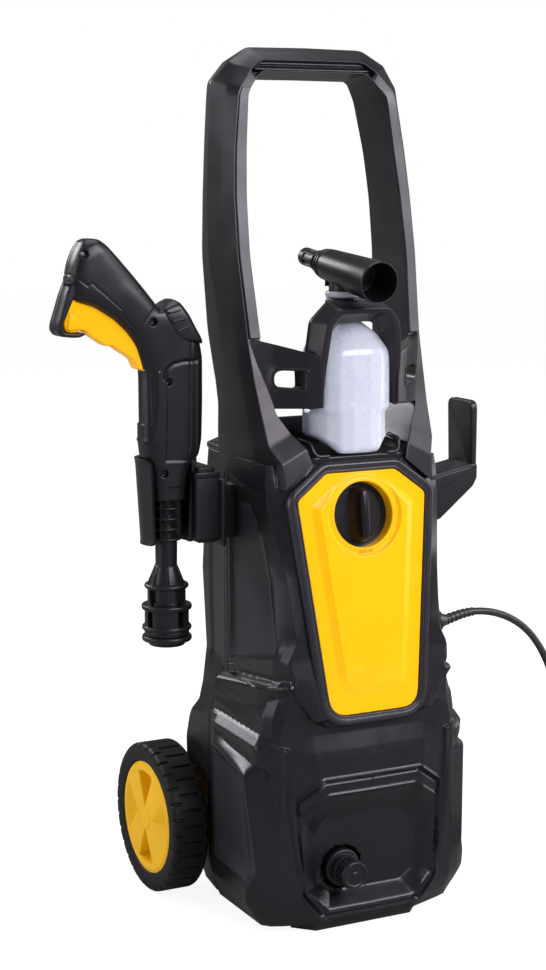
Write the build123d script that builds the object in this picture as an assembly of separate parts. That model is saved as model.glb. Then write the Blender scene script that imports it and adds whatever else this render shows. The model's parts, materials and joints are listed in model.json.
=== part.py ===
from build123d import *
import os
from math import cos, hypot, pi, radians, sin, tan

# Upright electric pressure washer with its spray gun, foam bottle, wheels and cord.
# Millimetres. The front faces -Y, +X is to the right seen from the front, and z = 0 is the floor.
# x = 0 is the middle plane of the body.

# Whole machine
overallHeight = 800.0
wall = 3.0
touchGap = 0.3        # between curved or movable faces of different bodies
runningGap = 0.05     # radial, between a shaft and what it turns in
screwRadius = 2.0
screwHeadRadius = 4.0
screwHeadHeight = 3.0

# Body: the half outline at each level runs from the front corner to the back corner
bodyBottom = 9.0
bodyTop = 430.0
bulgeHalfWidth = 113.0
bulgeLow, bulgeHigh = 35.0, 187.0
waistHeight, waistHalfWidth = 238.0, 88.0
shoulderDrop = 35.0      # from the body's top down to its widest upper level
frontY = -117.0
panelStandOut = 5.0   # how far the foot of the leaning front stands before the lower front
leanAngle = 7.8       # the panel's lean, backwards going up
panelFootZ = 206.0    # where the leaning front starts
seamY = 0.0

# Cooling slots in the back
slotCount, slotSpacing = 7, 14.0
slotHalf, slotHeight = 45.0, 5.0

# Panel, its frame and the switch
panelThickness = 3.2
bezelThickness = 4.0
bezelWidth = 8.0
panelMidZ = 310.0
switchZ = 383.0
knobRadius = 25.5
knobThickness = 5.5
knobSink = 12.0       # from the panel's face to the knob's disc
gripDepth = 16.0
gripWidth = 9.0
spindleRadius = 4.0
dishGap = 3.0         # between the knob and the dish around it
dishFloor = 2.0
switchBoxSize = 42.0
switchBoxDepth = 34.0

# Outlet in the front recess
recessFloorY = -104.0
outletX, outletZ = -25.0, 58.0
recessHoleRadius = 21.0
threadRadius = 10.9
outletBore = 5.0
outletEndY = -128.0
capRadius = 12.5
capStartY, capEndY = -113.0, -132.0

# Water inlet at the back
inletX, inletZ = 25.0, 46.0
inletRadius = 8.5
inletBore = 5.5
inletEndY = 112.0
inletNoseLength = 16.0

# Wheels
wheelY, wheelRadius = 68.0, 72.0
tyreThickness = 14.0
wheelWidth = 32.0
wheelInnerX = 114.3
hubWidth = 24.0
hubBossRadius = 12.0
bossWidth = hubWidth + 2
webStart, webThickness = 18.0, 5.0      # from the wheel's inner face
windowCircle, windowRadius = 33.0, 11.0
axleRadius, axleBossRadius = 6.0, 16.0
spokeWindows = 6
clipRadius, clipThickness = 10.0, 3.0

# Motor and pump, on one upright axis
motorY = -15.0
manifoldLow, manifoldHigh = 34.0, 80.0
manifoldWide, manifoldDeep = 92.0, 80.0
pumpHousingRadius, pumpHousingTop = 46.0, 118.0
canRadius, canWall, canTop = 55.0, 2.0, 240.0
statorLow, statorHigh = 145.0, 205.0
statorBore = 31.0
windingHeight, windingRadius, windingBore = 15.0, 50.0, 35.0
airGap = 0.5
shaftRadius, shaftLow, shaftTop = 8.0, 99.0, 264.0
bearingRadius, bearingHeight = 16.0, 9.0
endCapTop = 248.0
fanRadius, fanHeight, fanBlades = 46.0, 12.0, 8
pistonCircle, pistonRadius, pistonCount = 22.0, 5.0, 3
pistonHeadRadius, pistonHeadZ = 8.0, 92.0
swashRadius, swashTilt, swashMidZ = 32.0, 6.0, 98.8
capacitorRadius, capacitorHeight = 16.0, 66.0
capacitorX, capacitorY, shelfZ = 76.0, -48.0, 150.0
boltRadius, boltHeadRadius, boltHeadHeight, boltLength = 3.0, 5.0, 5.0, 30.0

# Handle
handleOuter = 98.0
handleInner = 79.5
topBar = 29.0
deckThickness = 6.0
backWallHalf, backWallHeight = 60.0, 20.0     # the wall behind the foam bottle
trimDepth = 3.0

# Foam bottle and nozzle: heights from the deck up
bottleY = -60.0
bottleFrontY, bottleBackY = -94.5, -20.0
bottleHalfWidth, bottleUpperHalf, bottleFrontHalf = 39.5, 34.0, 27.0
bottleHeight, bottleLobeHeight = 104.0, 40.0
bottleWall = 2.0
neckRadius, neckHeight = 13.0, 22.0
collarRadius, collarHeight = 17.5, 23.0
nozzleTilt = 7.5
nozzleRadius, nozzleRearRadius = 18.0, 14.0
nozzleFront, nozzleRear = 58.0, 38.0     # the barrel's reach before and behind the collar's middle
nozzleRise = 20.0     # from the collar's top to the nozzle's axis
stemRadius = 9.0
plugNeckRadius, plugNeckLength = 10.0, 20.0
plugRadius = 8.5
plugLength = 24.0

# Accessory holder: a yoke in front of the bottle with two arms to the handle
yokeFootHeight, yokeHeight = 43.0, 93.0
yokeHalf = 45.0
yokeWall = 7.0
yokeFrontY, yokeBackY = -100.0, -80.5
armThickness = 10.0

# Spray gun, hung with its barrel down
gunX, gunY = -149.0, 5.0
gunHalf = 18.0
gunWall = 2.5
rimZ = 432.0          # the holder's rim, on which the gun's shoulder rests
triggerX, triggerZ = -167.0, 518.0
triggerHalf = 11.0
pinRadius = 2.5
lockThickness = 4.0
pipeRadius, pipeBore = 10.0, 4.0
valveRadius, valveTop = 11.0, 486.0
plungerRadius, plungerTop = 3.0, 504.0
pipeLow = 300.0
ribCount, ribSpacing, ribRadius, ribTop = 4, 9.0, 17.0, 390.0
couplingRadius, couplingLow = 21.0, 258.0
couplingBore, couplingDepth = 11.0, 26.0
holderRadius, holderWall, holderHeight = 30.0, 4.0, 79.0
holderLow = rimZ - holderHeight
holderMouth = 17.0
bracketLow, bracketHigh, bracketHalf = holderLow - 1, rimZ - 14, 22.0

# Cord hook on the other side
hookY, hookDepth = 17.5, 45.0
hookReach, hookTop = 184.0, 467.0

# Cord
cordRadius = 3.5
glandRadius, glandEnd = 8.0, 106.0
glandY, glandZ = -70.0, 269.0
coilX, coilY = 318.0, -62.0
coilRadius = 49.0     # at the middle of its turns
coilLayers = 4
plugBodyRadius, plugBodyLength = 19.0, 34.0
reliefStart, reliefLength = 12.0, 42.0     # along the cord from where it leaves the coil
plugAngle = -60.0     # where the cord leaves the coil
pinLength, pinSpacing, contactRadius = 19.0, 19.0, 2.4


def box(x0, x1, y0, y1, z0, z1):
    size = (x1 - x0, y1 - y0, z1 - z0)
    return Pos((x0 + x1) / 2, (y0 + y1) / 2, (z0 + z1) / 2) * Box(*size)


def rod(radius, start, end, endRadius=None):
    """A cylinder or cone between two points."""
    start, end = Vector(*start), Vector(*end)
    way = end - start
    plane = Plane(origin=(start + end) / 2, z_dir=way)
    if endRadius is None or endRadius == radius:
        return plane * Cylinder(radius, way.length)
    return plane * Cone(radius, endRadius, way.length)


def tube(radius, bore, start, end):
    way = (Vector(*end) - Vector(*start)).normalized() * 1.0
    first = Vector(*start) - way
    last = Vector(*end) + way
    return rod(radius, start, end) - rod(bore, (first.X, first.Y, first.Z), (last.X, last.Y, last.Z))


def mirrored(half):
    """A closed outline from its right half, given from front to back or from bottom to top."""
    return list(half) + [(-x, y) for x, y in reversed(half) if x > 0]


def prism(points, axis, low, high):
    """A polygon pushed along an axis: points are (x, z) for Y, (y, z) for X and (x, y) for Z."""
    plane = {
        "X": Plane(origin=(low, 0, 0), x_dir=(0, 1, 0), z_dir=(1, 0, 0)),
        "Y": Plane(origin=(0, high, 0), x_dir=(1, 0, 0), z_dir=(0, -1, 0)),
        "Z": Plane(origin=(0, 0, low), x_dir=(1, 0, 0), z_dir=(0, 0, 1)),
    }[axis]
    return extrude(plane * make_face(Polyline(*points, close=True)), high - low)


def group(pieces):
    return Compound(children=[piece for part in pieces for piece in part.solids()])


def inset(points, distance):
    """A convex outline, given anticlockwise, moved inwards by a wall."""
    count = len(points)
    lines = []
    for k in range(count):
        (x0, y0), (x1, y1) = points[k], points[(k + 1) % count]
        length = hypot(x1 - x0, y1 - y0)
        nx, ny = -(y1 - y0) / length, (x1 - x0) / length
        lines.append((nx, ny, nx * x0 + ny * y0 + distance))
    moved = []
    for k in range(count):
        (a, b, c), (d, e, f) = lines[k - 1], lines[k]
        det = a * e - b * d
        moved.append(((c * e - b * f) / det, (a * f - c * d) / det))
    return moved


def panelY(z):
    """The leaning front's depth at a height."""
    return frontY - panelStandOut + (z - panelFootZ) * tan(radians(leanAngle))


def up(share):
    """A height on the handle, as a share of the way from the body's top to the handle's."""
    return bodyTop + share * (overallHeight - bodyTop)


shellFront = bezelThickness / cos(radians(leanAngle))
shoulderHeight = bodyTop - shoulderDrop
deckTop = bodyTop + deckThickness
bottleTop = deckTop + bottleHeight
neckTop = bottleTop + neckHeight
collarTop = neckTop + 18
nozzleAxisZ = collarTop + nozzleRise
yokeFoot = deckTop + yokeFootHeight
yokeTop = yokeFoot + yokeHeight

# height, then the half outline: front flat, front corner, seam, rear corner, back flat
bodyLevels = [
    (bodyBottom, [(50, frontY + 5), (98, -88), (98, seamY), (88, 52), (60, 68)]),
    (bulgeLow, [(53, frontY), (bulgeHalfWidth, -90), (104, seamY), (90, 54), (60, 74)]),
    (bulgeHigh, [(60, frontY), (bulgeHalfWidth, -88), (104, seamY), (91, 56), (61, 80)]),
    (waistHeight, [(70, panelY(waistHeight) + shellFront), (waistHalfWidth - 1, -92),
                   (waistHalfWidth, seamY), (84, 58), (62, 86)]),
    (314, [(76, panelY(314) + shellFront), (87, -84), (89, seamY), (86, 62), (62, 90)]),
    (shoulderHeight, [(78, panelY(shoulderHeight) + shellFront), (89, -79), (89, seamY), (84, 58), (61, 86)]),
    (bodyTop, [(52, panelY(bodyTop) + shellFront), (86, -75), (86, seamY), (82, 56), (60, 80)]),
]


def bodySolid(distance=0.0, low=None, high=None):
    """The body's outer form, or the same form moved inwards by a wall."""
    faces = []
    for k, (z, half) in enumerate(bodyLevels):
        if k == 0 and low is not None:
            z = low
        if k == len(bodyLevels) - 1 and high is not None:
            z = high
        outline = inset(mirroredBody(half), distance)
        faces.append(Pos(0, 0, z) * make_face(Polyline(*outline, close=True)))
    return loft(faces, ruled=True)


def mirroredBody(half):
    """Anticlockwise from above: up the right side from the front, then down the left side."""
    return list(half) + [(-x, y) for x, y in reversed(half)]


bodyOuter = bodySolid()
bodyInner = bodySolid(wall, low=bodyBottom - 1, high=bodyTop - wall)
reach = overallHeight
frontHalf = box(-reach, reach, -reach, seamY, -reach, reach)
rearHalf = box(-reach, reach, seamY, reach, -reach, reach)
panelPlane = Plane(origin=(0, panelY(panelMidZ), panelMidZ), x_dir=(1, 0, 0),
                   z_dir=(0, -cos(radians(leanAngle)), sin(radians(leanAngle))))
switchV = (switchZ - panelMidZ) / cos(radians(leanAngle))


def onPanel(x, up, out):
    """A point on the leaning front: to the right, up along it and out from it."""
    return tuple(panelPlane.from_local_coords(Vector(x, up, out)))


def panelPlate(outline, back, front):
    plane = panelPlane.offset(back)
    return extrude(plane * make_face(Polyline(*outline, close=True)), front - back)


panelOutline = mirrored([(30, -105), (44, -97), (65.9, 90), (35.6, 113)])
bezelOutline = inset(panelOutline, -bezelWidth)
dishRadius = knobRadius + dishGap
dishBack = knobSink + knobThickness + touchGap


def seamHalfWidth(z):
    """The body's half width at its seam, at a height."""
    for (low, below), (high, above) in zip(bodyLevels, bodyLevels[1:]):
        if low <= z <= high:
            share = (z - low) / (high - low)
            return below[2][0] + share * (above[2][0] - below[2][0])


def screwPlaces():
    """Where the two shells are screwed together, as (x, z): in pillars half sunk in the wall."""
    heights = (bulgeLow + 5, bulgeHigh - 22, waistHeight + 47, bodyTop - 30)
    return [(side * (seamHalfWidth(z) - wall - bossRadius / 2), z) for side in (-1, 1) for z in heights]


def screwTube(x, z, radius, y0, y1):
    return rod(radius, (x, y0, z), (x, y1, z))


screwSeatY = 8.0
screwLength = 18.0
bossRadius = 6.0
deckScrews = [(side * 70, 40) for side in (-1, 1)]
deckScrewLength = 20.0


def frontShell():
    shell = (bodyOuter - bodyInner) & frontHalf
    # the wall behind the recess round the outlet
    pad = bodyOuter & box(-80, 80, -130, recessFloorY + wall, 12, 160)
    shell = shell + pad
    mouth = mirrored([(48, 26), (64, 48), (70, 128), (47, 145)])
    floor = mirrored([(45, 40), (52, 60), (54, 95), (39, 110)])
    mouthFace = Plane(origin=(0, frontY - 3, 0), x_dir=(1, 0, 0), z_dir=(0, -1, 0))
    floorFace = Plane(origin=(0, recessFloorY, 0), x_dir=(1, 0, 0), z_dir=(0, -1, 0))
    shell = shell - loft([floorFace * make_face(Polyline(*floor, close=True)),
                          mouthFace * make_face(Polyline(*mouth, close=True))], ruled=True)
    shell = shell - rod(recessHoleRadius, (outletX, -130, outletZ), (outletX, -95, outletZ))
    shell = shell - rod(dishRadius + dishFloor + touchGap, onPanel(0, switchV, 5), onPanel(0, switchV, -15))
    shell = shell - rod(glandRadius, (70, glandY, glandZ), (120, glandY, glandZ))
    for x, z in screwPlaces():
        shell = shell + (screwTube(x, z, bossRadius, screwSeatY - screwLength - 12, seamY) & bodyOuter)
        shell = shell - screwTube(x, z, screwRadius, screwSeatY - screwLength, 1)
    # the capacitor's shelf
    shelf = box(capacitorX - capacitorRadius - wall, bulgeHalfWidth, capacitorY - capacitorRadius - 2,
                capacitorY + capacitorRadius + 2, shelfZ - wall, shelfZ)
    return shell + (shelf & bodyOuter)


def rearShell():
    shell = (bodyOuter - bodyInner) & rearHalf
    for x, z in screwPlaces():
        shell = shell + (screwTube(x, z, bossRadius, seamY, 80) & bodyOuter)
        shell = shell - screwTube(x, z, screwHeadRadius + touchGap, screwSeatY, 90)
        shell = shell - screwTube(x, z, screwRadius, -1, screwSeatY + 1)
    for x, y in deckScrews:
        shell = shell + rod(bossRadius, (x, y, bodyTop - 22), (x, y, bodyTop - 1))
        shell = shell - rod(screwRadius, (x, y, bodyTop + deckThickness - deckScrewLength), (x, y, bodyTop + 1))
    for side in (-1, 1):
        # a bearing boss for the axle on each side
        boss = rod(axleBossRadius, (side * 60, wheelY, wheelRadius),
                   (side * (wheelInnerX - touchGap), wheelY, wheelRadius))
        shell = shell + (boss - bodyInner)
    shell = shell - rod(axleRadius, (-120, wheelY, wheelRadius), (120, wheelY, wheelRadius))
    shell = shell - rod(inletRadius + touchGap, (inletX, 40, inletZ), (inletX, 100, inletZ))
    # cooling slots in the back
    for k in range(slotCount):
        z = waistHeight + 30 + k * slotSpacing
        shell = shell - box(-slotHalf, slotHalf, 70, 100, z, z + slotHeight)
    return shell


def frontPanel():
    plate = panelPlate(panelOutline, -bezelThickness, panelThickness - bezelThickness)
    raised = panelPlate(inset(panelOutline, 12), panelThickness - bezelThickness, 1.2)
    dishOuter = rod(dishRadius + dishFloor, onPanel(0, switchV, 0), onPanel(0, switchV, -dishBack - dishFloor))
    dishInner = rod(dishRadius, onPanel(0, switchV, 10), onPanel(0, switchV, -dishBack))
    hole = rod(spindleRadius + runningGap, onPanel(0, switchV, 10), onPanel(0, switchV, -40))
    return plate + raised + dishOuter - dishInner - hole


def panelBezel():
    ring = panelPlate(bezelOutline, -bezelThickness, 1.0)
    return ring - panelPlate(panelOutline, -bezelThickness - 1, 5)


def switchKnob():
    disc = rod(knobRadius, onPanel(0, switchV, -knobSink - knobThickness), onPanel(0, switchV, -knobSink))
    bar = panelPlane.offset(-knobSink - 1) * Pos(0, switchV, (gripDepth + 1) / 2) * Box(
        gripWidth, 2 * knobRadius - 5, gripDepth + 1)
    spindle = rod(spindleRadius, onPanel(0, switchV, -knobSink - 1), onPanel(0, switchV, -dishBack - 24))
    return disc + bar + spindle


def switchBox():
    start = -dishBack - dishFloor
    middle = panelPlane.offset(start - switchBoxDepth / 2) * Pos(0, switchV, 0)
    case = middle * Box(switchBoxSize, switchBoxSize, switchBoxDepth)
    return case - rod(spindleRadius + runningGap, onPanel(0, switchV, start + 5), onPanel(0, switchV, -dishBack - 25))


handleFront = [(-90, bodyTop), (-80, up(0.046)), (-42, up(0.297)), (-21, up(0.635)), (-9, up(0.838)),
               (-1, overallHeight - 12), (8, overallHeight)]
handleBack = [(30, overallHeight), (41, overallHeight - 12), (44, up(0.838)), (46, up(0.503)), (40, up(0.33)),
              (26, up(0.181)), (14, up(0.06)), (14, bodyTop)]
topHalfWidth = bodyLevels[-1][1][2][0]
handleOutline = mirrored([(topHalfWidth, bodyTop), (topHalfWidth + 2, up(0.054)), (handleOuter - 5, up(0.297)),
                          (handleOuter, up(0.595)), (handleOuter - 6, overallHeight - 58),
                          (handleOuter - 19, overallHeight - 24), (handleOuter - 43, overallHeight)])
handleWindow = mirrored([(topHalfWidth - 44, bodyTop - 5), (topHalfWidth - 41, deckTop + 11),
                         (handleInner - 13.5, deckTop + 38), (handleInner + 0.5, deckTop + 74),
                         (handleInner, up(0.635)),
                         (handleInner - 6.5, overallHeight - 55), (handleInner - 35.5, overallHeight - topBar)])


def handleFrame():
    loop = prism(handleOutline, "Y", -reach, reach) & prism(handleFront + handleBack, "X", -reach, reach)
    loop = loop - prism(handleWindow, "Y", -reach, reach)
    frame = loop + prism(mirroredBody(bodyLevels[-1][1]), "Z", bodyTop, deckTop)
    frame = frame + box(-backWallHalf, backWallHalf, 6, 14, bodyTop, deckTop + backWallHeight)
    for x, y in deckScrews:
        frame = frame - rod(screwRadius, (x, y, bodyTop - 1), (x, y, deckTop + 1))
        frame = frame - rod(screwHeadRadius + touchGap, (x, y, deckTop), (x, y, deckTop + 30))
    return frame


def handleTrim():
    """A raised strip along the front of both uprights and the top."""
    front = handleFront[2:]
    band = [(y - trimDepth, z) for y, z in front] + list(reversed(front))
    strip = mirrored([(handleOuter - 13, front[0][1]), (handleOuter - 8, up(0.62)),
                      (handleOuter - 14, overallHeight - 58), (handleOuter - 26, overallHeight - 32),
                      (handleOuter - 46, overallHeight - 11)])
    window = mirrored([(handleInner + 1.5, up(0.27)), (handleInner + 3, up(0.635)),
                       (handleInner - 3.5, overallHeight - 53), (handleInner - 32.5, overallHeight - 26)])
    return (prism(band, "X", -reach, reach) & prism(strip, "Y", -reach, reach)) - prism(window, "Y", -reach, reach)


def accessoryHolder():
    half, low, high = yokeHalf, yokeFoot, yokeTop
    outer = mirrored([(half - 3, low), (half, high - 32), (half - 1, high - 16), (half - 19, high)])
    inner = mirrored([(half - 3 - yokeWall, low - 5), (half - yokeWall, high - 32), (half - yokeWall, high - 22),
                      (half - 23, high - yokeWall - 1)])
    holder = prism(outer, "Y", yokeFrontY, yokeBackY) - prism(inner, "Y", yokeFrontY - 5, yokeBackY + 5)
    rear = yokeBackY - armThickness
    for side in (-1, 1):
        footprint = [(side * x, y) for x, y in
                     ((handleInner, rear + 45.5), (handleInner, rear + 35.5), (half - 1, rear),
                      (half - 4, rear), (half - 6, yokeBackY))]
        profile = [(side * x, z) for x, z in
                   ((half - 15, low), (handleInner + 1, low - 2), (handleInner + 1, low + 69), (half - 15, low + 54))]
        arm = prism(footprint, "Z", low - 9, high) & prism(profile, "Y", -reach, 0)
        window = [(side * (half + 9), low + 16), (side * (half + 26), low + 16), (side * (half + 26), low + 38),
                  (side * (half + 9), low + 38)]
        holder = holder + (arm - prism(window, "Y", -reach, 0))
    return holder & prism(handleWindow, "Y", -reach, reach)


def foamBottle():
    lobeTop = deckTop + bottleLobeHeight
    lower = box(-bottleHalfWidth, bottleHalfWidth, bottleY - 10, bottleBackY, deckTop, lobeTop)
    front = box(-bottleFrontHalf, bottleFrontHalf, bottleFrontY, bottleY + 20, deckTop, bottleTop)
    upper = box(-bottleUpperHalf, bottleUpperHalf, bottleY - 19, bottleBackY, lobeTop - 16, bottleTop)
    shoulder = loft([Pos(0, (bottleFrontY + bottleBackY) / 2, bottleTop) * Rectangle(
        2 * bottleFrontHalf, bottleBackY - bottleFrontY), Pos(0, bottleY, bottleTop + 12) * Rectangle(30, 34)],
        ruled=True)
    neck = rod(neckRadius, (0, bottleY, bottleTop + 5), (0, bottleY, neckTop))
    inX, inBack = bottleUpperHalf - bottleWall, bottleBackY - bottleWall
    hollow = box(-inX, inX, bottleY - 8, inBack, deckTop + bottleWall, bottleTop - bottleWall)
    mouth = rod(neckRadius - bottleWall, (0, bottleY, bottleTop - 5), (0, bottleY, neckTop + 1))
    return lower + front + upper + shoulder + neck - hollow - mouth


def alongNozzle(distance):
    """A point on the foam nozzle's axis, measured backwards from the collar's middle."""
    tilt = radians(nozzleTilt)
    return (0, bottleY + distance * cos(tilt), nozzleAxisZ + distance * sin(tilt))


def bottleCollar():
    low = collarTop - collarHeight
    collar = rod(collarRadius, (0, bottleY, low), (0, bottleY, collarTop))
    collar = collar - rod(neckRadius + touchGap, (0, bottleY, low - 1), (0, bottleY, neckTop + touchGap))
    return collar - rod(stemRadius - wall, (0, bottleY, low), (0, bottleY, collarTop + 1))


def foamNozzle():
    barrel = rod(nozzleRadius, alongNozzle(-nozzleFront), alongNozzle(nozzleRear), nozzleRearRadius)
    plugStart = nozzleRear + plugNeckLength
    neck = rod(plugNeckRadius, alongNozzle(nozzleRear - 1), alongNozzle(plugStart))
    plug = rod(plugRadius, alongNozzle(plugStart - 1), alongNozzle(plugStart + plugLength))
    stem = rod(stemRadius, (0, bottleY, collarTop), (0, bottleY, nozzleAxisZ - 2))
    stem = stem + rod(stemRadius - wall - touchGap, (0, bottleY, bottleTop - 20), (0, bottleY, collarTop + 1))
    bore = rod(nozzleRadius - wall, alongNozzle(-nozzleFront - 5), alongNozzle(-22))
    jet = rod(wall, alongNozzle(-30), alongNozzle(plugStart + plugLength + 5))
    return barrel + neck + plug + stem - bore - jet


def wheelPlace(side, start, width, radius, bore):
    x0 = side * start
    x1 = side * (start + width)
    return tube(radius, bore, (x0, wheelY, wheelRadius), (x1, wheelY, wheelRadius))


def tyre(side):
    return wheelPlace(side, wheelInnerX, wheelWidth, wheelRadius, wheelRadius - tyreThickness)


def wheelHub(side):
    rim = wheelPlace(side, wheelInnerX + 4, hubWidth, wheelRadius - tyreThickness, wheelRadius - tyreThickness - 5)
    boss = wheelPlace(side, wheelInnerX, bossWidth, hubBossRadius, axleRadius + runningGap)
    web = wheelPlace(side, wheelInnerX + webStart, webThickness, wheelRadius - tyreThickness - 4,
                     axleRadius + runningGap)
    for k in range(spokeWindows):
        angle = 2 * pi * k / spokeWindows
        y, z = wheelY + windowCircle * cos(angle), wheelRadius + windowCircle * sin(angle)
        x = side * (wheelInnerX + webStart)
        web = web - rod(windowRadius, (x - 10, y, z), (x + 10, y, z))
    return rim + boss + web


def wheelAxle():
    end = wheelInnerX + bossWidth + clipThickness + 2
    return rod(axleRadius, (-end, wheelY, wheelRadius), (end, wheelY, wheelRadius))


def axleClips():
    start = wheelInnerX + bossWidth + touchGap
    return group([wheelPlace(side, start, clipThickness, clipRadius, axleRadius) for side in (-1, 1)])


def onMotor(radius, low, high, bore=None):
    start, end = (0, motorY, low), (0, motorY, high)
    return rod(radius, start, end) if bore is None else tube(radius, bore, start, end)


def pistonPlaces():
    turns = [2 * pi * k / pistonCount + pi / 2 for k in range(pistonCount)]
    return [(pistonCircle * cos(a), motorY + pistonCircle * sin(a)) for a in turns]


def pumpManifold():
    half = manifoldDeep / 2
    block = box(-manifoldWide / 2, manifoldWide / 2, motorY - half, motorY + half, manifoldLow, manifoldHigh)
    for x, y in pistonPlaces():
        block = block - rod(pistonRadius + runningGap, (x, y, 62), (x, y, manifoldHigh + 1))
    for x, y in boltPlaces():
        block = block - rod(boltRadius, (x, y, manifoldHigh - boltLength), (x, y, manifoldHigh + 1))
    block = block - rod(outletBore, (outletX, motorY - half - 1, outletZ), (outletX, motorY - 10, outletZ))
    return block - rod(inletBore, (inletX, motorY + 10, inletZ), (inletX, motorY + half + 1, inletZ))


def pistons():
    return group([rod(pistonRadius, (x, y, 63), (x, y, pistonHeadZ - 1)) + rod(
        pistonHeadRadius, (x, y, pistonHeadZ), (x, y, pistonHeadZ + 3)) + rod(
        pistonRadius, (x, y, pistonHeadZ - 2), (x, y, pistonHeadZ + 1)) for x, y in pistonPlaces()])


def springCoil(radius, wire, height, turns, place):
    """A compression spring of round wire, its axis upright."""
    path = Helix(pitch=(height - 2 * wire) / turns, height=height - 2 * wire, radius=radius)
    section = Plane(origin=path @ 0, z_dir=path % 0) * Circle(wire)
    return place * Pos(0, 0, wire) * sweep(section, path=path, is_frenet=True)


def pistonSprings():
    return group([springCoil(6.7, 0.8, pistonHeadZ - manifoldHigh, 4, Pos(x, y, manifoldHigh))
                  for x, y in pistonPlaces()])


def pumpHousing():
    shell = onMotor(pumpHousingRadius, manifoldHigh, pumpHousingTop, pumpHousingRadius - 6)
    roof = onMotor(pumpHousingRadius, 109, pumpHousingTop, bearingRadius)
    flange = onMotor(canRadius, 112, pumpHousingTop, pumpHousingRadius - 1)
    floor = onMotor(pumpHousingRadius - 5, 107, 109.5, shaftRadius + 2)
    return shell + roof + flange + floor


def motorEndCap():
    plate = onMotor(canRadius, canTop, endCapTop, shaftRadius + 1)
    spigot = onMotor(canRadius - canWall - touchGap, canTop - 12, canTop + 1, bearingRadius)
    return plate + spigot


def motorBearings():
    low = onMotor(bearingRadius, 109.5, pumpHousingTop, shaftRadius + runningGap)
    high = onMotor(bearingRadius, canTop - bearingHeight, canTop, shaftRadius + runningGap)
    return group([low, high])


def swashPlate():
    disc = onMotor(swashRadius, 90, 106, shaftRadius)
    below = Pos(0, motorY, swashMidZ) * Rot(swashTilt, 0, 0) * Pos(0, 0, -25) * Box(90, 90, 50)
    return disc - below


def coolingFan():
    low = endCapTop + 2
    fan = onMotor(13, low, low + fanHeight, shaftRadius) + onMotor(fanRadius, low, low + 2, shaftRadius)
    for k in range(fanBlades):
        blade = Pos(0, motorY, 0) * Rot(0, 0, 360 * k / fanBlades) * box(11, fanRadius, -1, 1, low, low + fanHeight)
        fan = fan + blade
    return fan


def boltPlaces():
    """The pump head's four bolts, near its corners."""
    inX, inY = manifoldWide / 2 - boltHeadRadius - 1, manifoldDeep / 2 - boltHeadRadius - 1
    return [(sx * inX, motorY + sy * inY) for sx in (-1, 1) for sy in (-1, 1)]


def pumpBolts():
    bolts = []
    for x, y in boltPlaces():
        head = rod(boltHeadRadius, (x, y, manifoldHigh), (x, y, manifoldHigh + boltHeadHeight))
        bolts.append(head + rod(boltRadius, (x, y, manifoldHigh - boltLength), (x, y, manifoldHigh)))
    return group(bolts)


def unloaderValve():
    x = manifoldWide / 2
    return rod(11, (x, motorY, outletZ), (x + 8, motorY, outletZ)) + rod(
        8, (x + 8, motorY, outletZ), (x + 26, motorY, outletZ))


def outletFitting():
    start = motorY - manifoldDeep / 2
    body = rod(9, (outletX, start, outletZ), (outletX, -104, outletZ))
    collar = rod(14, (outletX, -104, outletZ), (outletX, capStartY + touchGap, outletZ))
    nose = rod(threadRadius, (outletX, capStartY + touchGap, outletZ), (outletX, outletEndY, outletZ))
    return body + collar + nose - rod(outletBore, (outletX, start + 5, outletZ), (outletX, outletEndY - 5, outletZ))


def outletCap():
    cap = rod(capRadius, (outletX, capStartY, outletZ), (outletX, capEndY, outletZ))
    return cap - rod(threadRadius + 0.1, (outletX, capStartY + 1, outletZ), (outletX, outletEndY - touchGap, outletZ))


def inletConnector():
    start = motorY + manifoldDeep / 2
    noseY = inletEndY - inletNoseLength
    pipe = rod(inletRadius, (inletX, start, inletZ), (inletX, inletEndY, inletZ))
    flange = rod(13, (inletX, noseY - 6, inletZ), (inletX, noseY, inletZ))
    return pipe + flange - rod(inletBore, (inletX, start - 1, inletZ), (inletX, inletEndY + 1, inletZ))


def inletFilter():
    return rod(inletBore, (inletX, inletEndY - 24, inletZ), (inletX, inletEndY - 2, inletZ)) - rod(
        inletBore - 1.2, (inletX, inletEndY - 22, inletZ), (inletX, inletEndY + 1, inletZ))


def basePan():
    plate = prism(inset(mirroredBody(bodyLevels[0][1]), wall + touchGap), "Z", bodyBottom, bodyBottom + 3)
    half = manifoldDeep / 2
    stand = box(-30, 30, motorY - half + 4, motorY + half - 4, bodyBottom + 2, manifoldLow)
    return plate + stand - box(-26, 26, motorY - half + 8, motorY + half - 8, bodyBottom - 1, manifoldLow + 1)


def frontFoot():
    bar = prism([(-67, -85), (-50, -103), (50, -103), (67, -85)], "Z", 0, bodyBottom)
    return bar + box(-22, 22, -90, 40, 0, bodyBottom)


gunOutline = [
    (-231, 631), (-243, 600), (-248, 589), (-258, 552), (-253, 545), (-249, 550), (-240, 583), (-214, 569),
    (-183, 541), (-176, 524), (-174, 508), (-175, rimZ + touchGap), (-166, rimZ + touchGap), (-165, 395), (-133, 395),
    (-132, rimZ + touchGap), (-118, rimZ + touchGap), (-115, 448), (-115, 541), (-132, 568), (-157, 568),
    (-206, 623), (-212, 630),
]
gunInner = [
    (-229, 627), (-239, 597), (-236, 585), (-214, 573), (-181, 544), (-173, 525), (-171, 508), (-172, rimZ + 3),
    (-162, rimZ + 3), (-162, 398), (-136, 398), (-136, rimZ + 3), (-121, rimZ + 3), (-118, 450), (-118, 540),
    (-133, 564.5), (-159, 564.5), (-208, 620), (-213, 626.5),
]
triggerOutline = [
    (-177, 506), (-179, 526), (-184, 541), (-214.5, 567), (-236, 577), (-245, 553), (-238, 547), (-230, 548.5),
    (-207, 536), (-190, 518), (-184, 504),
]
triggerSlot = [(-170, 498), (-168, 527), (-185, 552), (-212, 583), (-231, 601), (-240, 587), (-236, 560), (-190, 498)]

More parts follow.
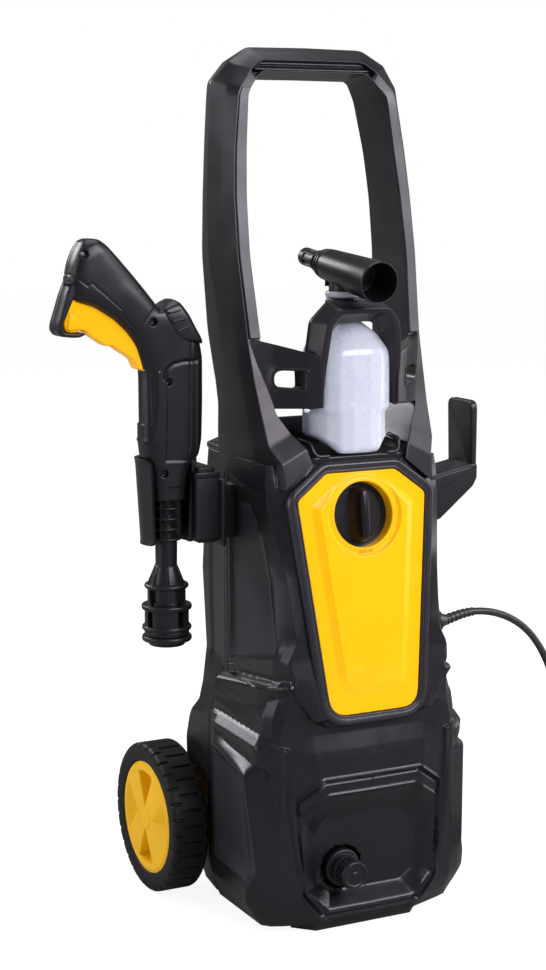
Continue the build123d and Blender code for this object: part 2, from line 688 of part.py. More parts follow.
gunScrewRadius, gunScrewHead, gunScrewSink = 1.5, 3.2, 5.0


def gunScrewPlaces():
    """Each housing screw as (x, z, where it ends): the lowest stops short of the pipe."""
    through = gunY + gunHalf - gunScrewSink
    return [(-222, 612, through), (-141, 552, through), (-128, 490, through), (-151, 402, gunY - pipeRadius - 1)]


def gunShell(low, high):
    """One half of the gun's housing, hollow, with its trigger slot and screw pillars."""
    half = prism(gunOutline, "Y", low, high)
    half = half - prism(gunInner, "Y", gunY - gunHalf + gunWall, gunY + gunHalf - gunWall)
    half = half - prism(triggerSlot, "Y", gunY - triggerHalf - 0.5, gunY + triggerHalf + 0.5)
    keep = prism(gunOutline, "Y", low, high)
    outside, seat = gunY - gunHalf, gunY - gunHalf + gunScrewSink
    for x, z, end in gunScrewPlaces():
        half = half + (rod(5, (x, low, z), (x, high, z)) & keep)
        half = half - rod(gunScrewRadius, (x, seat, z), (x, end, z))
        half = half - rod(gunScrewHead + touchGap, (x, outside - 1, z), (x, seat, z))
    half = half + (rod(6, (triggerX, low, triggerZ), (triggerX, gunY - triggerHalf - touchGap, triggerZ)) & keep)
    half = half + (rod(6, (triggerX, gunY + triggerHalf + touchGap, triggerZ), (triggerX, high, triggerZ)) & keep)
    half = half - rod(pinRadius, (triggerX, gunY - gunHalf + 3, triggerZ), (triggerX, gunY + gunHalf - 3, triggerZ))
    return half - rod(pipeRadius, (gunX, gunY, 385), (gunX, gunY, 430))


def gunScrews():
    screws = []
    seat = gunY - gunHalf + gunScrewSink
    for x, z, end in gunScrewPlaces():
        head = rod(gunScrewHead, (x, seat - 2.5, z), (x, seat, z))
        screws.append(head + rod(gunScrewRadius, (x, seat - 1, z), (x, end, z)))
    screws.append(rod(pinRadius, (triggerX, gunY - gunHalf + 3, triggerZ), (triggerX, gunY + gunHalf - 3, triggerZ)))
    return group(screws)


def trigger():
    blade = prism(triggerOutline, "Y", gunY - triggerHalf, gunY + triggerHalf)
    knuckle = rod(7, (triggerX, gunY - triggerHalf, triggerZ), (triggerX, gunY + triggerHalf, triggerZ))
    neck = prism([(-182, 508), (-168, 512), (-166, 524), (-184, 530)], "Y", gunY - triggerHalf, gunY + triggerHalf)
    arm = prism([(-171, 523), (-163, 523), (gunX + 5, plungerTop + 5), (gunX + 5, plungerTop + touchGap),
                 (gunX - 6, plungerTop + touchGap), (-171, 514)], "Y", gunY - triggerHalf, gunY + triggerHalf)
    blade = blade + knuckle + neck + arm
    return blade - rod(pinRadius + runningGap, (triggerX, gunY - 20, triggerZ), (triggerX, gunY + 20, triggerZ))


def gunValve():
    body = rod(valveRadius, (gunX, gunY, 430), (gunX, gunY, valveTop))
    return body - rod(plungerRadius + runningGap, (gunX, gunY, valveTop - 20), (gunX, gunY, valveTop + 1))


def valvePlunger():
    """The pin that the trigger's arm pushes down into the valve."""
    stem = rod(plungerRadius, (gunX, gunY, valveTop - 12), (gunX, gunY, plungerTop))
    return stem + rod(5.5, (gunX, gunY, plungerTop - 2), (gunX, gunY, plungerTop))


def gunPipe():
    stem = rod(pipeRadius, (gunX, gunY, pipeLow), (gunX, gunY, 430))
    collar = stem
    for k in range(ribCount):
        z = ribTop - ribSpacing * k
        collar = collar + rod(ribRadius, (gunX, gunY, z - 5), (gunX, gunY, z))
    collar = collar + rod(14, (gunX, gunY, 358), (gunX, gunY, 394.7))
    flare = rod(19, (gunX, gunY, 312), (gunX, gunY, 316))
    return collar + flare - rod(pipeBore, (gunX, gunY, pipeLow - 1), (gunX, gunY, 429))


def lanceCoupling():
    body = rod(18.5, (gunX, gunY, couplingLow), (gunX, gunY, pipeLow))
    for z in (couplingLow, 266, 284, 293):
        body = body + rod(couplingRadius, (gunX, gunY, z), (gunX, gunY, z + 5))
    bore = rod(couplingBore, (gunX, gunY, couplingLow - 1), (gunX, gunY, couplingLow + couplingDepth))
    return body - bore - rod(pipeBore, (gunX, gunY, couplingLow), (gunX, gunY, pipeLow + 1))


def triggerLock():
    """The ribbed thumb piece at the butt of the barrel."""
    plane = Plane(origin=(-123.5, gunY, 554.5), z_dir=(27, 0, 17))
    return plane * Pos(0, 0, lockThickness / 2 + touchGap) * Box(20, 18, lockThickness)


def triggerSpring():
    return springCoil(4.2, 0.7, plungerTop - 2 - valveTop, 5, Pos(gunX, gunY, valveTop))


def gunHolster():
    outer = rod(holderRadius, (gunX, gunY, holderLow), (gunX, gunY, rimZ))
    inner = rod(holderRadius - holderWall, (gunX, gunY, holderLow - 5), (gunX, gunY, rimZ + 5))
    mouth = box(gunX - holderMouth, gunX + holderMouth, gunY - 40, gunY, holderLow - 5, rimZ + 5)
    return outer - inner - mouth


def holsterBracket():
    block = box(gunX + 20, -60, gunY - bracketHalf, gunY + bracketHalf, bracketLow, bracketHigh)
    return block - bodyOuter - rod(holderRadius, (gunX, gunY, 300), (gunX, gunY, 500))


def cordHook():
    profile = [(70, 352), (100, 352), (141, 356), (178, 397), (hookReach, 410), (hookReach, hookTop - 3),
               (177, hookTop), (174, 427), (90, 409), (70, 409)]
    low = hookY - hookDepth / 2
    return prism(profile, "Y", low, low + hookDepth) - bodyOuter


def cableGland():
    flange = rod(12, (84, glandY, glandZ), (91.5, glandY, glandZ)) - bodyOuter
    body = rod(glandRadius, (82, glandY, glandZ), (98, glandY, glandZ))
    nose = rod(glandRadius, (98, glandY, glandZ), (glandEnd, glandY, glandZ), 5)
    return body + flange + nose + rod(10, (95, glandY, glandZ), (98, glandY, glandZ))


def caseScrews():
    screws = []
    for x, z in screwPlaces():
        head = screwTube(x, z, screwHeadRadius, screwSeatY, screwSeatY + screwHeadHeight)
        screws.append(head + screwTube(x, z, screwRadius, screwSeatY - screwLength, screwSeatY))
    for x, y in deckScrews:
        seat = bodyTop + deckThickness
        screws.append(rod(screwHeadRadius, (x, y, seat), (x, y, seat + screwHeadHeight)) + rod(
            screwRadius, (x, y, seat - deckScrewLength), (x, y, seat)))
    return group(screws)


cordRoute = [
    (106, -70, 269), (127, -70, 274.5), (150, -70, 273.5), (171, -70.5, 267.5), (190, -71, 257), (206, -71.5, 242),
    (221, -72, 219), (232.5, -72.5, 189), (239, -73, 156), (242.5, -72.5, 119), (243.8, -71, 81), (244.1, -65.9, 41.8),
    (246.9, -55.5, 21.5), (254.7, -40.9, 8.6), (268.3, -25.8, 3.6), (282.5, -14.7, 3.5),
]


def cordTube():
    """Straight runs joined by arcs as large as their runs allow."""
    points = [Vector(*p) for p in cordRoute]
    radii = []
    for a, b, c in zip(points, points[1:], points[2:]):
        turn = radians((b - a).get_angle(c - b))
        radii.append(0.45 * min((b - a).length, (c - b).length) / tan(turn / 2))
    path = FilletPolyline(*cordRoute, radius=radii)
    section = Plane(origin=path @ 0, z_dir=path % 0) * Circle(cordRadius)
    cord = sweep(section, path=path)
    print("cord: least bend radius", round(min(radii), 1), "of", [round(r) for r in radii])
    print("cord: length", round(path.length, 1), "volume over section and length",
          round(cord.volume / (pi * cordRadius ** 2 * path.length), 5))
    return cord


def cordCoil():
    half = coilLayers * cordRadius
    return tube(coilRadius + half, coilRadius - half, (coilX, coilY, 0), (coilX, coilY, 2 * half))


def mainsPlug():
    """A round two-pin plug lying beside the coil, in line with the turn that it ends."""
    angle = radians(plugAngle)
    radius = coilRadius + (coilLayers - 1) * cordRadius
    startX, startY = coilX + radius * cos(angle), coilY + radius * sin(angle)
    wayX, wayY = sin(angle), -cos(angle)

    def at(distance, across=0.0):
        return (startX + wayX * distance - wayY * across, startY + wayY * distance + wayX * across, plugBodyRadius)

    bodyStart = reliefStart + reliefLength
    relief = rod(cordRadius + 0.5, at(reliefStart), at(bodyStart), 9)
    body = rod(plugBodyRadius, at(bodyStart), at(bodyStart + plugBodyLength))
    plug = relief + body
    for across in (-pinSpacing / 2, pinSpacing / 2):
        end = bodyStart + plugBodyLength
        plug = plug + rod(contactRadius, at(end - 1, across), at(end + pinLength, across))
    return plug


nodes = {
    "front_shell": frontShell, "rear_shell": rearShell, "front_panel": frontPanel, "panel_bezel": panelBezel,
    "switch_knob": switchKnob, "switch_box": switchBox, "handle_frame": handleFrame, "handle_trim": handleTrim,
    "accessory_holder": accessoryHolder, "foam_bottle": foamBottle, "bottle_collar": bottleCollar,
    "foam_nozzle": foamNozzle, "wheel_axle": wheelAxle, "axle_clips": axleClips,
    "left_tyre": lambda: tyre(-1), "left_hub": lambda: wheelHub(-1),
    "right_tyre": lambda: tyre(1), "right_hub": lambda: wheelHub(1),
    "pump_manifold": pumpManifold, "pump_pistons": pistons, "piston_springs": pistonSprings,
    "pump_housing": pumpHousing, "pump_bolts": pumpBolts, "unloader_valve": unloaderValve,
    "motor_can": lambda: onMotor(canRadius, pumpHousingTop, canTop, canRadius - canWall),
    "stator_core": lambda: onMotor(canRadius - canWall, statorLow, statorHigh, statorBore),
    "stator_winding": lambda: group([onMotor(windingRadius, z, z + windingHeight, windingBore)
                                     for z in (statorLow - windingHeight, statorHigh)]),
    "motor_end_cap": motorEndCap, "motor_bearings": motorBearings,
    "rotor_shaft": lambda: onMotor(shaftRadius, shaftLow, shaftTop),
    "rotor_core": lambda: onMotor(statorBore - airGap, statorLow, statorHigh, shaftRadius),
    "swash_plate": swashPlate, "cooling_fan": coolingFan,
    "capacitor": lambda: rod(capacitorRadius, (capacitorX, capacitorY, shelfZ),
                             (capacitorX, capacitorY, shelfZ + capacitorHeight)),
    "outlet_fitting": outletFitting, "outlet_cap": outletCap, "inlet_connector": inletConnector,
    "inlet_filter": inletFilter, "base_pan": basePan, "front_foot": frontFoot,
    "gun_shell_front": lambda: gunShell(gunY - gunHalf, gunY),
    "gun_shell_back": lambda: gunShell(gunY, gunY + gunHalf),
    "gun_screws": gunScrews, "gun_trigger": trigger, "gun_valve": gunValve, "gun_pipe": gunPipe,
    "lance_coupling": lanceCoupling, "trigger_lock": triggerLock, "trigger_spring": triggerSpring,
    "valve_plunger": valvePlunger,
    "gun_holster": gunHolster, "holster_bracket": holsterBracket, "cord_hook": cordHook, "cable_gland": cableGland,
    "case_screws": caseScrews, "power_cord": cordTube, "cord_coil": cordCoil, "mains_plug": mainsPlug,
}

os.makedirs("parts", exist_ok=True)
for name, make in nodes.items():
    piece = make()
    piece.label = name
    export_step(piece, os.path.join("parts", name + ".step"))
    print(name, len(piece.solids()), round(piece.volume))
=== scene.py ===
import json
from math import ceil, cos, pi, radians, sin, tan

import bmesh
import bpy
import numpy as np
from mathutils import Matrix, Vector


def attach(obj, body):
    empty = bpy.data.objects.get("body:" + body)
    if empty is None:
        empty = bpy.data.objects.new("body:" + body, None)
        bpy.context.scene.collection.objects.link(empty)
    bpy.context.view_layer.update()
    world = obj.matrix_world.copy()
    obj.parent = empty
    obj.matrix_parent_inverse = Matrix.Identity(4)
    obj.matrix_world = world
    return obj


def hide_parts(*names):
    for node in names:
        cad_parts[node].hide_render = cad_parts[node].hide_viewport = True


# Upright pressure washer: the looks of each visible piece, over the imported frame.
# Shapes are written in millimetres in the frame of the part and put into the meshes in metres.
# The front faces -Y, +X is to the right seen from the front, z = 0 is the floor.

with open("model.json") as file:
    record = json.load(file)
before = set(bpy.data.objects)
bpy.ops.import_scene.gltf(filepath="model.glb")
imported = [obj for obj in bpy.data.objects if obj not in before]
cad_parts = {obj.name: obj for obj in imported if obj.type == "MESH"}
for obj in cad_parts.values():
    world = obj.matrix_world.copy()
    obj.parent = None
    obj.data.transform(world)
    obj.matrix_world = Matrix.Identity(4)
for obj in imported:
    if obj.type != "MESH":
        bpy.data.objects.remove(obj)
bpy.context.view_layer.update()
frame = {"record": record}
scene = bpy.context.scene
mm = 0.001
tiny = 1e-6
upright = (0, 0, 1)


# small tools for grids and outlines

def addPiece(name, shape, finish, body=None, stands=None, slot=None, smooth=True, merge=None, sharp=None):
    # One mesh object from (points in millimetres, faces), riding on a body of the frame. merge: doubles closer
    # than this become one and every face turns outwards. sharp: edges steeper than this many degrees stay crisp.
    points, faces = shape
    mesh = bpy.data.meshes.new(name)
    mesh.from_pydata((np.asarray(points, float) * mm).tolist(), [], faces)
    mesh.validate()
    mesh.update()
    mesh.polygons.foreach_set("use_smooth", [smooth] * len(mesh.polygons))
    piece = bpy.data.objects.new(name, mesh)
    scene.collection.objects.link(piece)
    mesh.materials.append(finish)
    if body:
        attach(piece, body)
    if stands:
        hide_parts(stands)
    if merge is not None:
        work = bmesh.new()
        work.from_mesh(mesh)
        if merge:
            bmesh.ops.remove_doubles(work, verts=work.verts, dist=merge * mm)
        bmesh.ops.recalc_face_normals(work, faces=work.faces)
        work.to_mesh(mesh)
        work.free()
    if sharp:
        mesh.set_sharp_from_angle(angle=radians(sharp))
    return piece


def gridFaces(rows, columns, aroundRows=False, aroundColumns=False, start=0, turned=False):
    # quads between neighbours of a rows x columns grid, wrapping where asked
    i = np.arange(rows if aroundRows else rows - 1)[:, None]
    j = np.arange(columns if aroundColumns else columns - 1)[None, :]
    below, right = (i + 1) % rows, (j + 1) % columns
    quads = [i * columns + j, i * columns + right, below * columns + right, below * columns + j]
    quads = np.stack(quads, -1).reshape(-1, 4) + start
    return quads[:, ::-1].tolist() if turned else quads.tolist()


def tube(rings, turned=False):
    # a tube of closed rings, with a flat cap over the first and the last one
    rings = np.asarray(rings)
    rows, columns = rings.shape[:2]
    first, last = list(range(columns)), list(range((rows - 1) * columns, rows * columns))
    caps = [first, last[::-1]] if turned else [first[::-1], last]
    return rings.reshape(-1, 3), gridFaces(rows, columns, aroundColumns=True, turned=turned) + caps


def hoop(rings, turned=False):
    # rings that close both ways
    rings = np.asarray(rings)
    return rings.reshape(-1, 3), gridFaces(*rings.shape[:2], aroundRows=True, aroundColumns=True, turned=turned)


def fullTurn(count):
    return np.linspace(0, 2 * pi, count, endpoint=False)


def unit(vectors):
    return vectors / np.maximum(np.linalg.norm(vectors, axis=-1, keepdims=True), tiny)


def track(knots, z):
    # a value that runs straight from knot to knot: knots are (height, value)
    heights, values = zip(*knots)
    return np.interp(z, heights, values)


def smoothStep(x):
    x = np.clip(x, 0, 1)
    return x * x * (3 - 2 * x)


def bell(x, width):
    # a soft ridge of height 1 where x is 0
    return np.exp(-(x / width) ** 2)


def edgeDistance(u, v, outline):
    # signed distances inside each edge of an anticlockwise outline, one layer per edge
    corners = np.asarray(outline, float)
    ahead = np.roll(corners, -1, axis=0) - corners
    length = np.hypot(ahead[:, 0], ahead[:, 1])
    normal = np.stack([-ahead[:, 1], ahead[:, 0]], 1) / length[:, None]
    return (u[..., None] - corners[:, 0]) * normal[:, 0] + (v[..., None] - corners[:, 1]) * normal[:, 1]


def insideDistance(u, v, outline, soft=0.0):
    # distance inside a convex outline; soft rounds its corners off
    layers = edgeDistance(u, v, outline)
    if soft:
        return -soft * np.log(np.exp(-np.clip(layers, -60, 60) / soft).sum(-1))
    return layers.min(-1)


def sinkShare(u, v, mouth, floor):
    # how far down the wall of a pocket a point is: 0 at its mouth, 1 from the floor's edge on
    outer, inner = edgeDistance(u, v, mouth), edgeDistance(u, v, floor)
    share = outer / np.maximum(outer - inner, tiny)
    return np.clip(np.where(inner >= 0, 1.0, share), 0, 1).min(-1)


def mirroredOutline(half):
    # a closed outline from its right half
    return list(half) + [(-x, y) for x, y in reversed(half) if x > 0]


def bothHalves(half):
    # a line up to the middle, carried on as its own mirror image
    half = np.asarray(half, float)
    flip = np.ones(half.shape[1])
    flip[0] = -1
    return np.vstack([half, (half * flip)[-2::-1]])


def arcOver(corner, before, after, reach, limit, steps, byRadius):
    # A quadratic arc over a corner, between a point on each side of it. reach is the arc's radius or, for
    # byRadius False, how far from the corner it starts; it takes up to this limit's share of each side.
    a, b = before - corner, after - corner
    la, lb = max(np.linalg.norm(a), tiny), max(np.linalg.norm(b), tiny)
    if byRadius:
        half = np.arccos(np.clip(a @ b / (la * lb), -1, 1)) / 2
        reach = reach / max(tan(half), tiny)
    cut = min(reach, limit * la, limit * lb)
    t = np.linspace(0, 1, steps + 1)[:, None]
    return (1 - t) ** 2 * (corner + a / la * cut) + 2 * t * (1 - t) * corner + t ** 2 * (corner + b / lb * cut)


def roundedOutline(corners, radius, steps=5):
    # a closed polygon with an arc at each corner: radius is one value, or one per corner
    corners = np.asarray(corners, float)
    radii = np.broadcast_to(np.asarray(radius, float), (len(corners),))
    ahead = np.roll(corners, -1, axis=0)
    return np.concatenate([arcOver(corners[k], corners[k - 1], ahead[k], radii[k], 0.48, steps, True)
                           for k in range(len(corners))])


def roundProfile(profile, radius, steps=4):
    # an open profile whose inner corners are rounded: radius is one value, or one per point
    profile = np.asarray(profile, float)
    radii = np.broadcast_to(np.asarray(radius, float), (len(profile),))
    arcs = [arcOver(profile[k], profile[k - 1], profile[k + 1], radii[k], 0.45, steps, False)
            for k in range(1, len(profile) - 1)]
    return np.concatenate([profile[:1], *arcs, profile[-1:]])


def pointsAlong(line, wanted):
    # the points of a line at these distances from its beginning; wanted None gives the whole length instead
    along = np.concatenate([[0], np.cumsum(np.linalg.norm(np.diff(line, axis=0), axis=1))])
    if wanted is None:
        return along[-1]
    return np.stack([np.interp(wanted, along, line[:, k]) for k in range(line.shape[1])], 1)


def resample(line, count, closed=False):
    # points at equal steps along a line
    line = np.asarray(line, float)
    if closed:
        line = np.vstack([line, line[:1]])
    points = pointsAlong(line, np.linspace(0, pointsAlong(line, None), count + 1 if closed else count))
    return points[:-1] if closed else points


def insetOutline(points, distance):
    # an anticlockwise outline moved inwards: each point goes along the mean of its two edges' normals
    points = np.asarray(points, float)
    before, after = unit(points - np.roll(points, 1, axis=0)), unit(np.roll(points, -1, axis=0) - points)
    mean = before + after
    mean = np.stack([-mean[:, 1], mean[:, 0]], 1)
    return points + mean / (np.maximum((mean * mean).sum(1, keepdims=True), 0.5) / 2) * distance


def place(plane, u, v, w):
    # points (right, up, out) of a plane given as origin and three directions
    origin, right, up, out = (np.asarray(part, float) for part in plane)
    u, v, w = (np.asarray(part, float)[..., None] for part in np.broadcast_arrays(u, v, w))
    return origin + u * right + v * up + w * out


frontPlane = ((0, 0, 0), (1, 0, 0), (0, 0, 1), (0, -1, 0))
floorPlane = ((0, 0, 0), (1, 0, 0), (0, 1, 0), (0, 0, 1))


def bevelledSlab(outline, plane, low, high, bevel, steps=3):
    # a flat plate with rounded rims: the outline is drawn in by a quarter circle towards each face
    outline = np.asarray(outline, float)
    angles = np.linspace(0, pi / 2, steps + 1)
    rings = [(bevel * (1 - np.sin(a)), low + bevel * (1 - np.cos(a))) for a in angles]
    rings += [(bevel * (1 - np.cos(a)), high - bevel * (1 - np.sin(a))) for a in angles]
    return tube([place(plane, *insetOutline(outline, inset).T, level) for inset, level in rings])


def block(centre, right, up, out, size):
    # a small block with slightly rounded edges: centre, three directions and its three sizes
    w, h, d = (side / 2 for side in size)
    outline = roundedOutline([(-w, -h), (w, -h), (w, h), (-w, h)], min(w, h) * 0.35, 2)
    return bevelledSlab(outline, (centre, right, up, out), -d, d, min(w, h, d) * 0.35, 2)


def lathe(profile, centre, axis, count=64):
    # rings round an axis: profile is (radius, distance along the axis)
    axis = np.asarray(axis, float) / np.linalg.norm(axis)
    side = np.cross(axis, upright if abs(axis[2]) < 0.9 else (0, 1, 0))
    side /= np.linalg.norm(side)
    angles = fullTurn(count)
    ring = np.cos(angles)[:, None] * side + np.sin(angles)[:, None] * np.cross(axis, side)
    profile = np.asarray(profile, float)
    return np.asarray(centre, float) + profile[:, 1, None, None] * axis + profile[:, 0, None, None] * ring[None]


def turned(profile, centre, axis, count=64, radius=0.8):
    # a closed turned body: its profile starts and ends on the axis
    return tube(lathe(roundProfile(profile, radius), centre, axis, count), turned=True)


def joined(*parts):
    # several point and face lists as one
    points, faces, start = [], [], 0
    for more, quads in parts:
        points.append(np.asarray(more, float))
        faces += [[index + start for index in face] for face in quads]
        start += len(more)
    return np.concatenate(points), faces


# finishes

def node(tree, kind, *inputs, **values):
    # A node with its settings, and its sockets by number or name. A socket takes a value, or the output of
    # another node, which is then linked.
    made = tree.nodes.new("ShaderNode" + kind)
    for key, value in (*enumerate(inputs), *values.items()):
        if isinstance(key, str) and hasattr(made, key):
            setattr(made, key, value)
            continue
        socket = made.inputs[key.replace("_", " ") if isinstance(key, str) else key]
        if isinstance(value, bpy.types.NodeSocket):
            tree.links.new(value, socket)
        elif value is not None:
            socket.default_value = value
    return made


def newMaterial(name):
    material = bpy.data.materials.new(name)
    material.use_nodes = True
    return material, material.node_tree, material.node_tree.nodes["Principled BSDF"]


# what a finish has where its own entry says nothing else
plainLook = dict(worn=None, relief=0.5, edge=0.6, wear=0.3, wearWidth=1.2, driftScale=14.0,
                 cloudScale=35.0, roughSpread=0.05, metal=0.0, specular=0.5, tint=(1, 1, 1), coat=0.0,
                 coatRough=0.1, subsurface=0.0, subsurfaceDepth=3.0)


def finish(name, look):
    # moulded or machined surface: two tones that drift into each other, a fine grain in the relief,
    # uneven gloss, and edges rubbed a little lighter
    look = {**plainLook, **look}
    material, tree, shader = newMaterial(name)
    where = node(tree, "TexCoord").outputs["Object"]
    drift = node(tree, "TexNoise", Vector=where, Scale=look["driftScale"], Detail=4.0, Roughness=0.6).outputs["Fac"]
    tone = node(tree, "ValToRGB", Fac=drift)
    for element, spot, colour in zip(tone.color_ramp.elements, (0.35, 0.68), (look["colour"], look["second"])):
        element.position, element.color = spot, (*colour, 1)

    grain = node(tree, "TexNoise", Vector=where, Scale=1000 / look["grainSize"], Detail=3.0, Roughness=0.65)
    rounded = node(tree, "Bevel", samples=3, Radius=look["edge"] * mm)
    relief = node(tree, "Bump", Strength=look["relief"], Distance=look["grainDepth"] * mm,
                  Height=grain.outputs["Fac"], Normal=rounded.outputs["Normal"])

    # edges: where the rounded normal turns away from the plain one
    wide = node(tree, "Bevel", samples=3, Radius=look["wearWidth"] * mm)
    match = node(tree, "VectorMath", wide.outputs["Normal"], node(tree, "NewGeometry").outputs["Normal"],
                 operation="DOT_PRODUCT")
    rub = node(tree, "MapRange", From_Min=0.985, From_Max=0.8, To_Min=0.0, To_Max=look["wear"],
               Value=match.outputs["Value"])
    patchy = node(tree, "Math", rub.outputs["Result"], drift, operation="MULTIPLY")
    lighter = look["worn"] or [min(1, c * 1.6 + 0.03) for c in look["colour"]]
    worn = node(tree, "Mix", data_type="RGBA", Factor=patchy.outputs["Value"], A=tone.outputs["Color"],
                B=(*lighter, 1))

    # gloss: soft clouds plus fine rubbing marks
    clouds = node(tree, "TexNoise", Vector=where, Scale=look["cloudScale"], Detail=5.0, Roughness=0.7)
    gloss = node(tree, "MapRange", From_Min=0.3, From_Max=0.7, To_Min=look["rough"] - look["roughSpread"],
                 To_Max=look["rough"] + look["roughSpread"], Value=clouds.outputs["Fac"])
    for socket, output in (("Base Color", worn.outputs["Result"]), ("Normal", relief.outputs["Normal"]),
                           ("Roughness", gloss.outputs["Result"])):
        tree.links.new(output, shader.inputs[socket])
    for socket, value in (("Metallic", look["metal"]), ("Specular IOR Level", look["specular"]),
                          ("Specular Tint", (*look["tint"], 1)), ("Coat Weight", look["coat"]),
                          ("Coat Roughness", look["coatRough"]), ("Subsurface Weight", look["subsurface"]),
                          ("Subsurface Scale", look["subsurfaceDepth"] * mm)):
        shader.inputs[socket].default_value = value
    material.diffuse_color = (*look["colour"], 1)
    return material


def blackPlastic(colour, second, rough, grainSize, grainDepth, relief, wear, **more):
    # mirror light on the blacks leans to violet
    return dict(tint=(0.97, 0.90, 1.0), colour=colour, second=second, rough=rough, grainSize=grainSize,
                grainDepth=grainDepth, relief=relief, wear=wear, **more)


looks = {
    # black plastics: the case is eroded satin, its bands and the frame are smoother
    "caseGrain": blackPlastic((0.0138, 0.0127, 0.0169), (0.0188, 0.0173, 0.0230), 0.46, 0.9, 0.10, 0.35, 0.35,
                              specular=0.45, edge=0.5),
    "caseSatin": blackPlastic((0.0053, 0.0049, 0.0065), (0.0078, 0.0072, 0.0096), 0.30, 0.7, 0.04, 0.3, 0.3,
                              specular=0.42),
    "frameSatin": blackPlastic((0.0150, 0.0142, 0.0200), (0.0190, 0.0180, 0.0250), 0.27, 0.8, 0.008, 0.15, 0.2),
    "handleBlack": blackPlastic((0.0064, 0.0059, 0.0078), (0.0095, 0.0088, 0.0116), 0.36, 0.8, 0.07, 0.35, 0.35,
                                specular=0.42),
    "gunBlack": blackPlastic((0.0047, 0.0044, 0.0058), (0.0073, 0.0067, 0.0089), 0.36, 0.7, 0.06, 0.35, 0.35,
                             specular=0.42),
    "trimBlack": blackPlastic((0.0120, 0.0112, 0.0150), (0.0160, 0.0150, 0.0200), 0.36, 0.8, 0.05, 0.35, 0.3),
    "glossBlack": blackPlastic((0.0060, 0.0056, 0.0072), (0.0085, 0.0080, 0.0100), 0.2, 1.4, 0.01, 0.2, 0.2,
                               specular=0.28, roughSpread=0.03),
    "yellowPanel": dict(colour=(0.80, 0.385, 0.0005), second=(0.83, 0.40, 0.001), rough=0.25, specular=0.2,
                        grainSize=0.9, grainDepth=0.015, relief=0.2, wear=0.15, worn=(1.0, 0.66, 0.08),
                        subsurface=0.05, roughSpread=0.04),
    "markYellow": dict(colour=(0.74, 0.40, 0.001), second=(0.78, 0.42, 0.001), rough=0.34, grainSize=0.9,
                       grainDepth=0.01, relief=0.2, wear=0.1),
    "yellowHub": dict(colour=(0.70, 0.38, 0.0005), second=(0.73, 0.40, 0.001), rough=0.34, specular=0.2,
                      grainSize=0.9, grainDepth=0.02, relief=0.2, wear=0.2, worn=(1.0, 0.6, 0.08), subsurface=0.05),
    "tyreBlack": dict(colour=(0.004, 0.0037, 0.0045), second=(0.006, 0.0057, 0.0066), rough=0.5, specular=0.25,
                      grainSize=0.8, grainDepth=0.09, relief=0.45, wear=0.5, worn=(0.05, 0.05, 0.052)),
    "cordBlack": dict(colour=(0.012, 0.012, 0.013), second=(0.017, 0.017, 0.019), rough=0.38, grainSize=0.6,
                      grainDepth=0.03, relief=0.3, wear=0.1),
    # milky blow-moulded plastic: light goes a little way in, and thicker places read bluer
    "bottleMilk": dict(colour=(0.53, 0.545, 0.65), second=(0.49, 0.51, 0.62), rough=0.26, grainSize=1.5,
                       grainDepth=0.03, relief=0.25, wear=0.1, worn=(0.92, 0.92, 0.94), subsurface=0.55,
                       subsurfaceDepth=9.0, driftScale=9.0),
    # what is inside
    "greyPlastic": dict(colour=(0.22, 0.22, 0.22), second=(0.26, 0.26, 0.255), rough=0.4, grainSize=0.8,
                        grainDepth=0.04, relief=0.3),
    "steel": dict(colour=(0.50, 0.50, 0.50), second=(0.58, 0.58, 0.57), rough=0.28, metal=1.0, grainSize=0.5,
                  grainDepth=0.02, relief=0.3, worn=(0.7, 0.7, 0.69)),
    "aluminium": dict(colour=(0.62, 0.62, 0.63), second=(0.70, 0.70, 0.70), rough=0.42, metal=1.0, grainSize=1.2,
                      grainDepth=0.06, relief=0.4, worn=(0.8, 0.8, 0.8)),
    "brass": dict(colour=(0.60, 0.40, 0.14), second=(0.68, 0.47, 0.18), rough=0.25, metal=1.0, grainSize=0.6,
                  grainDepth=0.02, relief=0.3, worn=(0.8, 0.6, 0.3)),
    "iron": dict(colour=(0.20, 0.20, 0.21), second=(0.26, 0.25, 0.25), rough=0.5, metal=1.0, grainSize=0.7,
                 grainDepth=0.05, relief=0.4),
    "copper": dict(colour=(0.45, 0.16, 0.07), second=(0.52, 0.20, 0.09), rough=0.35, metal=0.7, grainSize=1.5,
                   grainDepth=0.25, relief=0.6),
    "canPaint": dict(colour=(0.03, 0.03, 0.032), second=(0.04, 0.04, 0.043), rough=0.4, grainSize=0.9,
                     grainDepth=0.04, relief=0.3),
}
finishes = {name: finish(name, look) for name, look in looks.items()}
milk = finishes["bottleMilk"].node_tree.nodes["Principled BSDF"].inputs
milk["Subsurface Radius"].default_value = (1.0, 1.0, 1.15)
milk["Transmission Weight"].default_value = 0.12

slotFinish = {
    "black_case": "caseSatin", "black_gloss": "glossBlack", "yellow_plastic": "yellowPanel",
    "yellow_hub": "yellowHub", "white_plastic": "bottleMilk", "rubber_black": "cordBlack",
    "tyre_black": "tyreBlack", "steel": "steel", "aluminium": "aluminium", "brass": "brass", "iron": "iron",
    "copper_enamel": "copper", "can_paint": "canPaint", "grey_plastic": "greyPlastic",
}
for part in frame["record"]["subparts"]:
    cadMaterials = bpy.data.objects.get(part["node"]).data.materials
    cadMaterials.clear()
    cadMaterials.append(finishes[slotFinish[part["material_slot"]]])
print("finishes:", len(finishes))


# camera, lamps, floor and world

def aimed(name, data, at, way):
    # an object that looks from a place in a direction
    made = bpy.data.objects.new(name, data)
    scene.collection.objects.link(made)
    made.location = at
    made.rotation_euler = Vector(way).to_track_quat("-Z", "Y").to_euler()
    return made


scene.camera = aimed("camera", bpy.data.cameras.new("camera"), (-0.8611, -1.6019, 0.6859), (0.4497, 0.8792, -0.1575))
scene.camera.data.lens = 72.45
scene.camera.data.sensor_width = 36
scene.view_settings.view_transform = "Standard"

